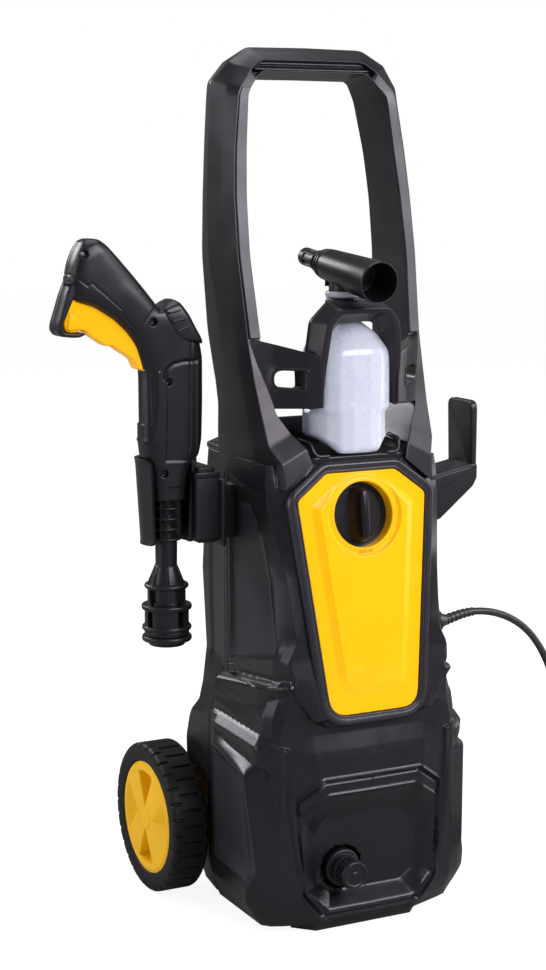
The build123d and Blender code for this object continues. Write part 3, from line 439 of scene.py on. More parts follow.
lamps = {
    # place, what it faces, size (m), power (W)
    "leftBox": dict(at=(-2.4, 0.35, 0.9), to=(0, 0, 0.35), size=(1.2, 1.6), power=15),
    "frontBox": dict(at=(1.0, -2.3, 1.85), to=(0, 0, 0.35), size=(2.4, 1.1), power=96),
    "rightBox": dict(at=(2.2, -0.4, 1.0), to=(0, 0, 0.35), size=(0.8, 1.8), power=20),
    "topBox": dict(at=(0.0, 0.3, 2.6), to=(0, 0, 0.4), size=(1.6, 1.6), power=22),
    "rearLeftBox": dict(at=(-1.6, 2.6, 1.9), to=(0, 0, 0.35), size=(1.8, 0.8), power=58),
}
for name, lamp in lamps.items():
    light = bpy.data.lights.new(name, "AREA")
    light.shape = "RECTANGLE"
    light.size, light.size_y = lamp["size"]
    light.energy = lamp["power"]
    aimed(name, light, lamp["at"], Vector(lamp["to"]) - Vector(lamp["at"]))

studio = dict(floorSize=9000, floorTone=0.8, floorRough=0.8, glowShare=0.74, glowSeen=1.14, glowElsewhere=0.08,
              ambient=0.40, mirrorFront=0.20, mirrorBack=0.17)
white = (1, 1, 1, 1)


def paleFloor():
    # white to the eye and dimmer in reflections, with part of the real shading left so that it keeps the shadow
    material, tree, shader = newMaterial("paleFloor")
    shader.inputs["Base Color"].default_value = (*[studio["floorTone"]] * 3, 1)
    shader.inputs["Roughness"].default_value = studio["floorRough"]
    path = node(tree, "LightPath").outputs
    strength = node(tree, "Math", path["Is Camera Ray"], studio["glowSeen"], studio["glowElsewhere"],
                    operation="MULTIPLY_ADD")
    glow = node(tree, "Emission", Color=white, Strength=strength.outputs["Value"])
    seen = node(tree, "Math", path["Is Camera Ray"], path["Is Glossy Ray"], operation="MAXIMUM")
    share = node(tree, "Math", seen.outputs["Value"], studio["glowShare"], operation="MULTIPLY")
    mix = node(tree, "MixShader", share.outputs["Value"], shader.outputs["BSDF"], glow.outputs["Emission"])
    tree.links.new(mix.outputs["Shader"], tree.nodes["Material Output"].inputs["Surface"])
    return material


side = studio["floorSize"]
floor = addPiece("studioFloor", ([(-side, -side, 0), (side, -side, 0), (side, side, 0), (-side, side, 0)],
                                 [(0, 1, 2, 3)]), paleFloor())


def studioWorld():
    # white to the eye, a plain ambient light, and an even grey in reflections that is a little lighter in front
    world = bpy.data.worlds.new("studio")
    world.use_nodes = True
    tree = world.node_tree
    tree.nodes.remove(tree.nodes["Background"])
    path = node(tree, "LightPath").outputs
    where = node(tree, "SeparateXYZ", node(tree, "TexCoord").outputs["Generated"])
    tone = node(tree, "MapRange", From_Min=0.0, From_Max=0.75, To_Min=studio["mirrorFront"],
                To_Max=studio["mirrorBack"], Value=where.outputs["Y"])
    ambient, mirrored, seen = (node(tree, "Background", Color=white, Strength=strength).outputs["Background"]
                               for strength in (studio["ambient"], tone.outputs["Result"], 1.0))
    reflected = node(tree, "Math", path["Is Glossy Ray"], path["Is Transmission Ray"], operation="MAXIMUM")
    first = node(tree, "MixShader", reflected.outputs["Value"], ambient, mirrored)
    second = node(tree, "MixShader", path["Is Camera Ray"], first.outputs["Shader"], seen)
    tree.links.new(second.outputs["Shader"], tree.nodes["World Output"].inputs["Surface"])
    return world


scene.world = studioWorld()
print("camera, lamps and floor")


# mains cord, its strain relief and its plug

cordPlan = dict(
    radius=3.5,
    # from the gland: out, over, down to the floor and round to the coil
    route=[(106, -70, 269), (127, -70, 274.5), (150, -70, 273.5), (171, -70.5, 267.5), (190, -71, 257),
           (206, -71.5, 242), (221, -72, 219), (232.5, -72.5, 189), (239, -73, 156), (242.5, -72.5, 119),
           (243.8, -71, 81), (244.1, -65.9, 41.8), (246.9, -55.5, 21.5), (254.7, -40.9, 8.6),
           (268.3, -25.8, 3.6), (282.5, -14.7, 3.5)],
    coilCentre=(318, -62), outerTurn=59.5, pointsPerTurn=16, layers=4, liftShare=0.22, turnGap=0.05,
    startAngle=126.9, endAngle=-60.0, wholeTurns=15,
    # from the coil's end to the plug: way along its axis, height over it
    tail=[(7, 4.4), (14, 2.6), (22, 1.0), (32, 0.0), (44, 0.0)],
    reliefLength=30, reliefRadii=(5.3, 4.2), reliefRings=6, reliefGroove=0.7,
)
plugPlan = dict(level=19.0, start=54.0, bodyRadius=19.0, bodyLength=34.0, sleeveLength=34, pinRadius=2.4,
                pinLength=19.0, pinSpacing=19.0)


def coilPoints(plan):
    # turns on the floor: in, up a layer, out, up, in, up, out; neighbours a cord's width apart
    turns = (plan["startAngle"] - plan["endAngle"]) / 360 + plan["wholeTurns"]
    step = 1 / plan["pointsPerTurn"]
    along = np.append(np.arange(step * 0.6, turns, step), turns)
    flat = (turns - plan["liftShare"] * (plan["layers"] - 1)) / plan["layers"]   # turns within one layer
    pitch = 2 * plan["radius"] + plan["turnGap"]
    layer = np.minimum(np.floor(along / (flat + plan["liftShare"])), plan["layers"] - 1)
    within = along - layer * (flat + plan["liftShare"])
    inward = np.minimum(within, flat)
    shrink = np.where(layer % 2 == 0, inward, flat - inward) * pitch
    lift = layer + smoothStep((within - flat) / plan["liftShare"])
    # control points lie outside the turn they make
    radius = (plan["outerTurn"] - shrink) / cos(pi / plan["pointsPerTurn"])
    angle = np.radians(plan["startAngle"] - along * 360)
    x, y = plan["coilCentre"]
    return np.stack([x + radius * np.cos(angle), y + radius * np.sin(angle), plan["radius"] + lift * pitch], 1)


def plugLine(plan):
    # origin and direction of the plug's axis, leaving the coil along its tangent
    out = np.array([cos(radians(plan["endAngle"])), sin(radians(plan["endAngle"]))])
    origin = np.array([*(plan["coilCentre"] + plan["outerTurn"] * out), plugPlan["level"]])
    return origin, np.array([out[1], -out[0], 0.0])


plugOrigin, plugWay = plugLine(cordPlan)
tail = [plugOrigin + plugWay * reach + np.array([0, 0, drop]) for reach, drop in cordPlan["tail"]]
cordPoints = np.vstack([cordPlan["route"], coilPoints(cordPlan), tail]) * mm

curve = bpy.data.curves.new("mainsCord", "CURVE")
curve.dimensions = "3D"
spline = curve.splines.new("NURBS")
spline.points.add(len(cordPoints) - 1)
spline.points.foreach_set("co", np.hstack([cordPoints, np.ones((len(cordPoints), 1))]).ravel())
spline.order_u = 3
spline.use_endpoint_u = True
spline.resolution_u = 5
curve.bevel_depth = cordPlan["radius"] * mm
curve.bevel_resolution = 4
curve.use_fill_caps = True
curve.materials.append(finishes["cordBlack"])
mainsCord = bpy.data.objects.new("mainsCord", curve)
scene.collection.objects.link(mainsCord)
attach(mainsCord, "machine")
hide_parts("power_cord", "cord_coil")


def asMesh(curveData):
    # a copy of a curve's or a text's points in a mesh of its own: points, faces
    holder = bpy.data.objects.new("holder", curveData)
    scene.collection.objects.link(holder)
    mesh = bpy.data.meshes.new_from_object(holder)
    points = np.empty(len(mesh.vertices) * 3)
    mesh.vertices.foreach_get("co", points)
    faces = [list(face.vertices) for face in mesh.polygons]
    bpy.data.objects.remove(holder)
    bpy.data.meshes.remove(mesh)
    bpy.data.curves.remove(curveData)
    return points.reshape(-1, 3), faces


def splineLine(cord):
    # the points that the spline itself runs through, in millimetres
    bare = cord.data.copy()
    bare.bevel_depth = 0
    bare.use_fill_caps = False
    return asMesh(bare)[0] / mm


def tubeAlong(line, radii, count=28):
    # rings square to a line that bends little: ring k has radius k, capped at both ends
    way = unit(np.gradient(line, axis=0))
    side = unit(np.cross(way, (0.03, 0.12, 1.0) if abs(way[0, 2]) < 0.8 else (0.0, 1.0, 0.1)))
    angles = fullTurn(count)[:, None]
    spokes = np.cos(angles) * side[:, None] + np.sin(angles) * np.cross(side, way)[:, None]
    return tube(line[:, None] + np.asarray(radii, float)[:, None, None] * spokes, turned=True)


def ribbedRelief(line, start):
    # a tapered sleeve with rings moulded round it: radius falls evenly from root to tip, and dips between the rings
    (root, tip), rings = cordPlan["reliefRadii"], cordPlan["reliefRings"]
    share = np.linspace(0, 1, rings * 12 + 1)
    dip = np.clip(np.sin(share * rings * 2 * pi - pi / 2) * 2.2, -1, 1) * 0.5 + 0.5
    radii = root + (tip - root) * share - cordPlan["reliefGroove"] * dip * (1 - 0.35 * share)
    radii[0] = root
    return tubeAlong(pointsAlong(line, start + share * cordPlan["reliefLength"]), radii)


cordLine = splineLine(mainsCord)
cordLength = pointsAlong(cordLine, None)
rubber = dict(finish=finishes["cordBlack"], body="machine", slot="rubber_black")
glandRelief = addPiece("glandRelief", ribbedRelief(cordLine, 0.4), **rubber)


def plugSleeveTube():
    # the sleeve follows the cord as it comes down from the coil, then widens into the plug
    length = plugPlan["sleeveLength"]
    line = pointsAlong(cordLine, np.linspace(cordLength - length, cordLength, 25))
    line = np.vstack([line, plugOrigin + plugWay * (plugPlan["start"] + 1)])
    share = np.linspace(0, 1, len(line))
    waves = 0.5 + 0.5 * np.cos(share * 7 * 2 * pi)
    return tubeAlong(line, 4.0 + 3.6 * share ** 1.3 + 0.6 * waves)


def plugShape():
    # the turned body of a two-pin plug: narrow where the sleeve joins, wide and flat-faced at the pins
    start, end, r = plugPlan["start"], plugPlan["start"] + plugPlan["bodyLength"], plugPlan["bodyRadius"]
    profile = [(0, start - 1), (7.0, start - 1), (9.5, start + 3), (13.0, start + 9), (13.6, start + 14),
               (16.2, start + 18), (r - 0.4, start + 22), (r - 0.4, end - 3), (r - 1.2, end), (0, end)]
    return turned(profile, plugOrigin, plugWay, 56, 2.2)


def plugPinPair():
    foot, r = plugPlan["start"] + plugPlan["bodyLength"] - 2, plugPlan["pinRadius"]
    tip = foot + 2 + plugPlan["pinLength"]
    across = np.array([-plugWay[1], plugWay[0], 0.0]) * plugPlan["pinSpacing"] / 2
    profile = [(0, foot), (r, foot), (r, tip - 2), (1.2, tip), (0, tip)]
    return joined(*[turned(profile, plugOrigin + across * side, plugWay, 24) for side in (-1, 1)])


plugSleeve = addPiece("plugSleeve", plugSleeveTube(), **rubber)
plugBody = addPiece("plugBody", plugShape(), stands="mains_plug", **rubber)
plugPins = addPiece("plugPins", plugPinPair(), finishes["steel"], body="machine")
print("cord:", round(cordLength), "mm")


# front and rear shell of the case

casePlan = dict(
    bottom=9.0, top=430.0, leanAngle=7.8, footDepth=-122.0, footLevel=206.0,
    wall=3.0, innerStride=3, halfColumns=(26, 36, 14, 14, 34),
    # spacing of the front's rows from the bottom up: height, spacing
    rowSpacing=[(9, 1.1), (50, 1.3), (52, 2.0), (95, 2.0), (98, 1.0), (200, 1.0), (205, 1.5), (250, 1.5),
                (262, 2.4), (430, 2.4)],
    lipHeight=3.0, roofHeight=7.5, wingDepth=3.2, chinDepth=4.2, finHeight=6.5, panelSink=7.0, apronHeight=1.3,
    pocketDepth=2.6, recessLevel=-104.0, outlet=(-25.0, 58.0), outletRadius=21.0, dishDepth=16.0,
)


def panelDepth(z):
    # y of the leaning front at a height
    return casePlan["footDepth"] + (z - casePlan["footLevel"]) * tan(radians(casePlan["leanAngle"]))


def leaning(setBack):
    # the upper part of a corner's y: it stands back from the leaning front by the same amount everywhere
    return [(z, panelDepth(z) + setBack) for z in (206, 238, 278, 328, 393, 410, 430)]


# the half outline of the front, corner by corner: each corner's x and y over the height
frontCorners = [
    # middle of the front
    ([(9, 0), (430, 0)],
     [(9, -111.5), (22, -116.5), (35, -118), (140, -118.3), (152, -118), (164, -116.8), (172, -115), (180, -112.4),
      (188, -109.8), (194, -109.6), (202, -114), *leaning(4.04)]),
    # edge of the flat front
    ([(9, 48), (35, 53), (120, 53), (187, 57), (210, 56), (238, 60), (278, 60), (328, 66), (393, 73.5), (410, 62),
      (430, 46)],
     [(9, -110.5), (22, -115.8), (35, -117), (140, -117.4), (152, -117.2), (164, -116), (172, -114.3), (180, -112),
      (188, -109.8), (196, -110), (204, -114), *leaning(4.3)]),
    # ridge beside the recess, then the outer edge of the surround
    ([(9, 83), (22, 86.5), (35, 88), (160, 89.5), (187, 89), (206, 84), (225, 82), (240, 82), (258, 82.5),
      (273, 74.8), (279, 74), (328, 78), (393, 89), (412, 88), (430, 86)],
     [(9, -98), (22, -103), (35, -106), (160, -106.5), (187, -106), (206, -107.5), (225, -110.5), (240, -112),
      (258, -109.8), (273, -110.3), (279, -109.5), (328, -98.6), (393, -79), (412, -77), (430, -75)]),
    # bottom of the notch in the side
    ([(9, 92), (35, 101), (60, 100), (70, 95), (74, 91.5), (88, 89.6), (120, 92), (150, 95.5), (158, 95.5),
      (166.5, 94), (168, 94.2), (187, 95), (206, 93), (225, 87.5), (240, 86.5), (261, 86.5), (271, 81.4), (278, 81),
      (328, 83), (393, 88.5), (412, 88), (430, 86)],
     [(9, -94), (35, -98), (60, -101), (70, -103), (74, -104.5), (88, -104.5), (120, -99), (150, -94), (158, -95),
      (166.5, -101), (187, -102), (206, -101), (225, -101), (240, -103), (261, -102), (271, -102), (278, -100.5),
      (328, -87.5), (393, -64), (412, -60), (430, -60)]),
    # widest corner of the foot part, then the edge of the side pocket's floor
    ([(9, 98), (22, 106), (35, 112.6), (46, 112.8), (49, 111.5), (60, 107.2), (68, 106.9), (148.5, 114.2),
      (150.5, 113.6), (157.5, 101), (159, 100), (166.5, 100.5), (168, 101.2), (187, 102), (206, 99.5), (225, 90.5),
      (240, 88.8), (261, 88.8), (271, 87.2), (336, 87.2), (380, 87.2), (393, 89), (412, 88), (430, 86)],
     [(9, -87), (35, -89), (46, -90), (49, -92), (60, -97), (68, -97.5), (150, -86.7), (158, -87), (166.5, -91),
      (187, -92), (206, -91), (225, -90), (240, -93), (261, -92), (278, -91.7), (336, -76), (380, -48.8),
      (393, -45), (430, -45)]),
    # seam
    ([(9, 98), (35, 104), (148, 104), (152, 103.2), (160, 102.2), (166, 103.6), (187, 103.4), (226, 89.2),
      (240, 88.8), (395, 89), (430, 86)], [(9, 0), (430, 0)]),
]
# the top of the bulge climbs from the front corner to the seam: rows are lifted towards the seam there
# and the lower edge of the side pocket falls towards it
rowLifts = [([(2, 0), (3, 0.6), (4, 1.2), (5, 15)], [(70, 0), (150, 1), (196, 1), (228, 0)]),
            ([(2, 0), (3, -2), (4, -5), (5, -26)], [(236, 0), (258, 1), (272, 1), (345, 0)])]

recessMouth = mirroredOutline([(44.5, 25.2), (64.5, 44.3), (71.5, 113.3), (45, 131.2)])
recessFloor = mirroredOutline([(37, 36), (50.5, 46), (55.5, 93.3), (37.5, 105.7)])
recessGroove = mirroredOutline([(52, 16.4), (71, 39), (76.8, 129), (50.5, 147.4)])
chinOutline = mirroredOutline([(20, 192.6), (44, 194.5), (64, 207), (77, 226), (82, 262), (95, 440)])
behindPanel = mirroredOutline([(36, 206), (44, 212), (62, 396), (34, 420)])
pocketEdge = [(262, -98), (328, -84), (385, -56)]   # y of the side pocket's front edge over the height


def columnShares(counts):
    # where the columns stand between the corners: 0 at the first corner, 1 at the next, and so on;
    # the last gap is halved until the coarser inner grid divides them
    parts = [np.linspace(k, k + 1, count, endpoint=False) for k, count in enumerate(counts)]
    shares = np.append(np.concatenate(parts), len(counts))
    while (len(shares) - 1) % casePlan["innerStride"]:
        shares = np.insert(shares, len(shares) - 1, (shares[-1] + shares[-2]) / 2)
    return shares


def fitted(count):
    # the nearest number of grid lines that the coarser inner grid divides
    return int(ceil((count - 1) / casePlan["innerStride"])) * casePlan["innerStride"] + 1


def sheetOf(corners, levels, shares, lifts=()):
    # x, y and z over rows (levels) and columns (shares): straight between neighbouring corners
    low = np.minimum(np.floor(shares).astype(int), len(corners) - 2)
    part = shares - low
    x, y = (np.stack([track(corner[axis], levels) for corner in corners], 1) for axis in (0, 1))
    x, y = (across[:, low] * (1 - part) + across[:, low + 1] * part for across in (x, y))
    z = np.repeat(levels[:, None], len(shares), axis=1)
    for lift, zone in lifts:
        z = z + track(lift, shares)[None] * track(zone, levels)[:, None]
    return np.stack([x, y, z], -1)


def gridNormals(points):
    # the mean direction of a grid's surface at each point, to the outside of columns running left to right
    return unit(np.cross(np.gradient(points, axis=1), np.gradient(points, axis=0)))


def softened(points, passes=1, weight=0.5):
    # each point drawn towards the mean of its four neighbours; the rim stays
    for _ in range(passes):
        middle = (points[:-2, 1:-1] + points[2:, 1:-1] + points[1:-1, :-2] + points[1:-1, 2:]) / 4
        points = points.copy()
        points[1:-1, 1:-1] += weight * (middle - points[1:-1, 1:-1])
    return points


def walled(outer):
    # an outer grid and a coarser inner one, a wall's thickness inside it, joined round the rim
    stride = casePlan["innerStride"]
    rows, columns, _ = outer.shape
    smooth = softened(outer, 6)
    inner = (smooth - gridNormals(smooth) * casePlan["wall"])[::stride, ::stride]
    inRows, inColumns, _ = inner.shape
    base = rows * columns
    faces = gridFaces(rows, columns) + gridFaces(inRows, inColumns, start=base, turned=True)
    outerAt = np.arange(base).reshape(rows, columns)
    innerAt = base + np.arange(inRows * inColumns).reshape(inRows, inColumns)
    for last, outers, inners in ((inColumns - 1, outerAt, innerAt), (inRows - 1, outerAt.T, innerAt.T)):
        forward = outers is outerAt
        for k in range(last):
            run = slice(k * stride, (k + 1) * stride + 1)
            for end, turn in ((0, forward), (-1, not forward)):
                rim, pair = outers[end, run].tolist(), inners[end, k:k + 2].tolist()
                faces.append(rim[::-1] + pair if turn else rim + pair[::-1])
    return np.concatenate([outer.reshape(-1, 3), inner.reshape(-1, 3)]), faces


def wingZone(y, z, over):
    # the wing behind the widest corner ends below this line, which climbs to the front
    return 151 + 0.13 * y + over - z


def frontSheet():
    # Half the front over levels and columns, with its features pushed in or out along the surface:
    # the outline through the corners, then lip, chin, fin, groove and the recess round the outlet.
    shares = columnShares(casePlan["halfColumns"])
    # rows stand where the running total of 1 / spacing reaches whole numbers
    fine = np.linspace(casePlan["bottom"], casePlan["top"], 4000)
    total = np.cumsum(1 / track(casePlan["rowSpacing"], fine))
    total = (total - total[0]) * (fine[1] - fine[0])
    levels = np.interp(np.linspace(0, total[-1], fitted(int(total[-1]))), total, fine)
    grid = sheetOf(frontCorners, levels, shares, rowLifts)
    x, y, z = np.moveaxis(grid, -1, 0)

    # raised slab round the side notch: beside a line on the front and below one that climbs to the seam
    beside = x - track([(9, 40), (21, 47.5), (42, 64), (85, 72.5), (128, 77.5), (150, 79.3), (170, 80), (230, 84)], z)
    below = track([(-114, 165), (-111.5, 175), (-106, 180), (-100, 184.5), (-92, 189), (-54, 190.5), (-10, 192)],
                  y) - z
    slab = np.minimum(beside, below)
    slabFade = np.clip(track([(9, 0.2), (30, 1), (430, 1)], z), 0, 1)
    onFlank = smoothStep((y + 108) / 12) * smoothStep((z - 150) / 12) * smoothStep((-y - 4) / 8)
    # its inner line is a fine step down again, which leaves the slab framed by a narrow band
    push = (casePlan["lipHeight"] * smoothStep(slab / 1.8) + 0.7 * bell(slab - 2.2, 1.0)) * slabFade * (1 - onFlank)
    push -= 0.9 * bell(slab + 0.6, 0.9) * onFlank
    push -= 1.5 * bell(slab - 5.6, 1.1) * slabFade * (y < -108)
    # on the flank the band slants outwards like a roof down to the notch
    push += casePlan["roofHeight"] * np.clip(below / 9.5, 0, 1) * onFlank
    # the hollow of the wing behind the widest corner
    wing = smoothStep((-y - 4) / 30) * smoothStep((y + 84) / 26) * smoothStep((z - 52) / 22)
    push -= casePlan["wingDepth"] * wing * smoothStep(wingZone(y, z, 10) / 8) * (x > 98)

    # chin: the leaning front stands out over the foot part
    chin = insideDistance(x, z, chinOutline)
    push += casePlan["chinDepth"] * smoothStep((chin + 1.0) / 2.0) * track([(180, 1), (216, 1), (262, 0)], z)

    # fin at the waist: sharp above, fading below, with a dark groove over it
    under = track([(-125, 226), (-119, 238.5), (-112, 238), (-60, 232), (0, 225.5), (10, 225)], y) - z
    onSide = smoothStep((x - 76) / 4)
    narrow = track([(-116, 0.3), (-80, 1), (0, 1)], y)
    rise = 0.55 * smoothStep((under + 1.2) / 1.8) + 0.45 * smoothStep(under / (8 * narrow))
    push += casePlan["finHeight"] * onSide * rise * narrow ** 0.6 * np.clip(1 - (under / narrow - 8) / 14, 0, 1)
    push -= 1.4 * onSide * bell(under + 3.4, 2.2)
    # behind the panel the sheet stands back
    push -= casePlan["panelSink"] * smoothStep(insideDistance(x, z, behindPanel) / 3) * (y < -60)
    # and the top rows stand out a little over a fine groove, like an apron
    apron = z - track([(-100, 405), (-60, 407), (0, 411)], y)
    push += (casePlan["apronHeight"] * smoothStep(apron / 1.2) - 1.2 * bell(apron + 1.0, 0.9)) * (x > 80)
    grid = grid + gridNormals(grid) * push[..., None]

    # pocket in the side, in front of the flange along the seam
    x, y, z = np.moveaxis(grid, -1, 0)
    pocketHigh = track([(-80, 393), (-48, 384), (-14, 396)], y)
    pocket = smoothStep((-y - 5.0) / 2.0) * smoothStep((z - pocketLow(y)) / 8) * smoothStep((pocketHigh - z) / 7)
    grid[..., 0] -= casePlan["pocketDepth"] * pocket * smoothStep((y - track(pocketEdge, z)) / 9) * (x > 80)

    # recess round the outlet with its double line
    share = sinkShare(x, z, recessMouth, recessFloor) * (y < -60)
    grid[..., 1] = y * (1 - share) + casePlan["recessLevel"] * share
    groove = insideDistance(x, z, recessGroove) * (y < -60)
    ridge = 1.3 * bell(groove - 0.2, 1.2) - 1.9 * bell(groove - 3.0, 1.3)
    line = 1.4 * bell(insideDistance(x, z, recessMouth) + 1.4, 1.1)
    inner = 0.6 * bell(insideDistance(x, z, recessFloor) + 0.8, 1.0)
    grid[..., 1] -= np.where(y < -60, 1.4 * ridge + line + inner, 0)
    return grid


def pocketLow(y):
    # height of the side pocket's lower edge, which falls towards the seam
    return 262 - (y + 107) * 0.232


def outletDish(grid):
    # the round opening behind the outlet: a steep dish in the recess floor
    (x0, z0), radius = casePlan["outlet"], casePlan["outletRadius"]
    x, y, z = np.moveaxis(grid, -1, 0)
    away = np.hypot(x - x0, z - z0)
    near = (y < -60) & (np.abs(away - radius) < 1.1)
    scale = radius / np.maximum(away, tiny)
    sunk = (y < -60) & (away < radius - 0.6)
    return np.stack([np.where(near, x0 + (x - x0) * scale, x),
                     np.where(sunk, casePlan["recessLevel"] + casePlan["dishDepth"], y),
                     np.where(near, z0 + (z - z0) * scale, z)], -1)


def grainedFaces(grid):
    # which faces of the outer sheet are eroded: the floor of the side pocket, and the wing behind the widest corner
    x, y, z = np.moveaxis((grid[1:, 1:] + grid[:-1, :-1]) / 2, -1, 0)
    pocket = (y > track(pocketEdge, z) + 8) & (y < -6) & (z > pocketLow(y) + 4) & (z < 392)
    wing = (y > -84) & (y < -5) & (z > 52) & (wingZone(y, z, 8) > 0) & (np.abs(x) > 98)
    return (pocket | wing).ravel()


caseSide = dict(finish=finishes["caseSatin"], body="machine", slot="black_case")
half = softened(frontSheet(), 1, 0.4)
# a mirrored first column keeps the middle: its x is 0
whole = outletDish(np.concatenate([(half * (-1, 1, 1))[:, :0:-1], half], axis=1))
frontShell = addPiece("frontShell", walled(whole), stands="front_shell", sharp=30, **caseSide)
frontShell.data.materials.append(finishes["caseGrain"])
for face, grained in zip(frontShell.data.polygons, grainedFaces(whole)):
    face.material_index = int(grained)
print("front shell:", whole.shape)

rearCorners = [
    # seam, shoulder of the back, edge of the flat back, middle
    ([(9, 98), (35, 104), (187, 104), (226, 89.2), (238, 88.4), (395, 89), (430, 86)], [(9, 0), (430, 0)]),
    ([(9, 90), (35, 97), (60, 103), (180, 103.6), (192, 98), (206, 92), (238, 84), (314, 86), (395, 84), (430, 82)],
     [(9, 50), (35, 54), (60, 62), (150, 64), (172, 56), (190, 44), (206, 50), (238, 58), (314, 62), (395, 58),
      (430, 56)]),
    ([(9, 60), (35, 60), (187, 61), (238, 62), (314, 62), (395, 61), (430, 60)],
     [(9, 66), (35, 74), (187, 80), (238, 86), (314, 90), (395, 86), (430, 80)]),
    ([(9, 0), (430, 0)], [(9, 66), (35, 75), (187, 81), (238, 87), (314, 91), (395, 87), (430, 81)]),
]
rearPlan = dict(columns=(34, 20, 44), rows=210, fieldHeight=1.8, fluteDepth=3.0, bandDepth=1.5,
                slotCount=7, slotSpacing=14.0, slotLow=268.0, slotHeight=5.0, slotHalf=45.0, slotDepth=5.0)


def rearSheet():
    # half of the rear shell from the seam to the middle: the outline through its corners, a groove along the seam,
    # a raised field with cooling slots, and two upright flutes below it
    levels = np.linspace(casePlan["bottom"], casePlan["top"], fitted(rearPlan["rows"]))
    grid = sheetOf(rearCorners, levels, columnShares(rearPlan["columns"]))
    x, y, z = np.moveaxis(grid, -1, 0)
    field = insideDistance(x, z, mirroredOutline([(44, 252), (54, 264), (54, 366), (40, 380)]))
    flute = insideDistance(x, z, mirroredOutline([(34, 90), (44, 104), (48, 208), (36, 226)]))
    onBack = rearPlan["fieldHeight"] * smoothStep((field + 1) / 3) - rearPlan["fluteDepth"] * smoothStep(flute / 5)
    for k in range(rearPlan["slotCount"]):
        middle = rearPlan["slotLow"] + rearPlan["slotSpacing"] * k + rearPlan["slotHeight"] / 2
        slot = np.minimum(rearPlan["slotHeight"] / 2 - np.abs(z - middle), rearPlan["slotHalf"] - np.abs(x))
        onBack -= rearPlan["slotDepth"] * smoothStep((slot + 0.8) / 1.6)
    band = smoothStep((y - 12) / 3) * smoothStep((46 - y) / 6) * smoothStep(np.minimum(z - 226, 398 - z) / 8)
    push = np.where(y > 40, onBack, 0) - rearPlan["bandDepth"] * band
    push -= 1.6 * bell(y - 1.0, 1.6) + 1.2 * bell(y - 9.0, 1.4)
    return grid + gridNormals(grid) * push[..., None]


half = softened(rearSheet(), 1, 0.5)
whole = np.concatenate([half, (half * (-1, 1, 1))[:, -2::-1]], axis=1)
addPiece("rearShell", walled(whole), stands="rear_shell", **caseSide)
print("rear shell:", whole.shape)


# yellow panel, its frame and the switch

lean = radians(casePlan["leanAngle"])
panelPlane = ((0, panelDepth(310), 310), (1, 0, 0), (0, sin(lean), cos(lean)), (0, -cos(lean), sin(lean)))
panelPlan = dict(
    outline=[(44.8, -105), (65.9, 90), (35.6, 113)], radii=[19, 7, 8], middle=(0.0, 8.0), columns=420, skirt=-3.9,
    plateau=[(24.5, -88), (33, -82), (34.5, -78), (52.5, 84), (28, 101.5)], plateauHeight=3.0, crease=-62.5,
    switchUp=(383 - 310) / cos(lean), dishRadius=30.0, halo=38.5, knobRadius=27.4, knobSink=11.0, knobColumns=72,
    # the frame's section from the panel's edge outwards: out, level
    frame=[(0.2, -3.9), (0.2, 0.2), (0.9, 1.1), (1.8, 1.2), (2.2, 0.7), (2.9, 0.7), (3.6, 1.5), (6.4, 1.9),
           (7.6, 1.5), (8.6, 0.2), (9.6, -1.8), (10.4, -4.6)],
)
switchUp = panelPlan["switchUp"]
switchCentre = place(panelPlane, 0, switchUp, 0).ravel()


def panelOutline(grow=0.0):
    radii = panelPlan["radii"] + panelPlan["radii"][::-1]
    return insetOutline(roundedOutline(mirroredOutline(panelPlan["outline"]), radii, 7), -grow)


def panelFace():
    # A plate with raised and lowered fields, as a height over rings of its own outline:
    # ring k is the outline drawn towards the middle, and height comes from where the point lies.
    outline = resample(panelOutline(-0.35), panelPlan["columns"], closed=True)
    share = np.concatenate([np.linspace(0, 0.3, 34), np.linspace(0.3, 1, 74)[1:]])[:, None, None]
    u, v = np.moveaxis(outline * (1 - share) + np.array(panelPlan["middle"]) * share, -1, 0)
    # plateau whose lower end falls away in two slanting faces
    plateau = insideDistance(u, v, mirroredOutline(panelPlan["plateau"]), 1.2)
    height = panelPlan["plateauHeight"] * np.clip(plateau / 7.0, 0, 1) + 0.25 * bell(plateau - 7.0, 0.9)
    height -= 2.1 * np.clip((panelPlan["crease"] - v) / 24, 0, 1) * smoothStep(plateau / 8.0)
    height += 0.2 * bell(v - panelPlan["crease"], 0.8) * (plateau > 8)
    # round halo below the switch, flush with the plate at its lower edge
    away = np.hypot(u, v - switchUp)
    halo = smoothStep((panelPlan["halo"] - away) / 3.0)
    height = height * (1 - halo) + halo * np.clip(0.4 + (v - switchUp) * 0.004, 0, 3)
    height += 0.6 * bell(away - panelPlan["dishRadius"] - 1.6, 1.1) + 0.25 * bell(away - panelPlan["halo"], 0.9)
    height *= smoothStep(np.minimum(insideDistance(u, v, outline[::10]), 3) / 1.5 + 0.25)
    return u, v, height, away


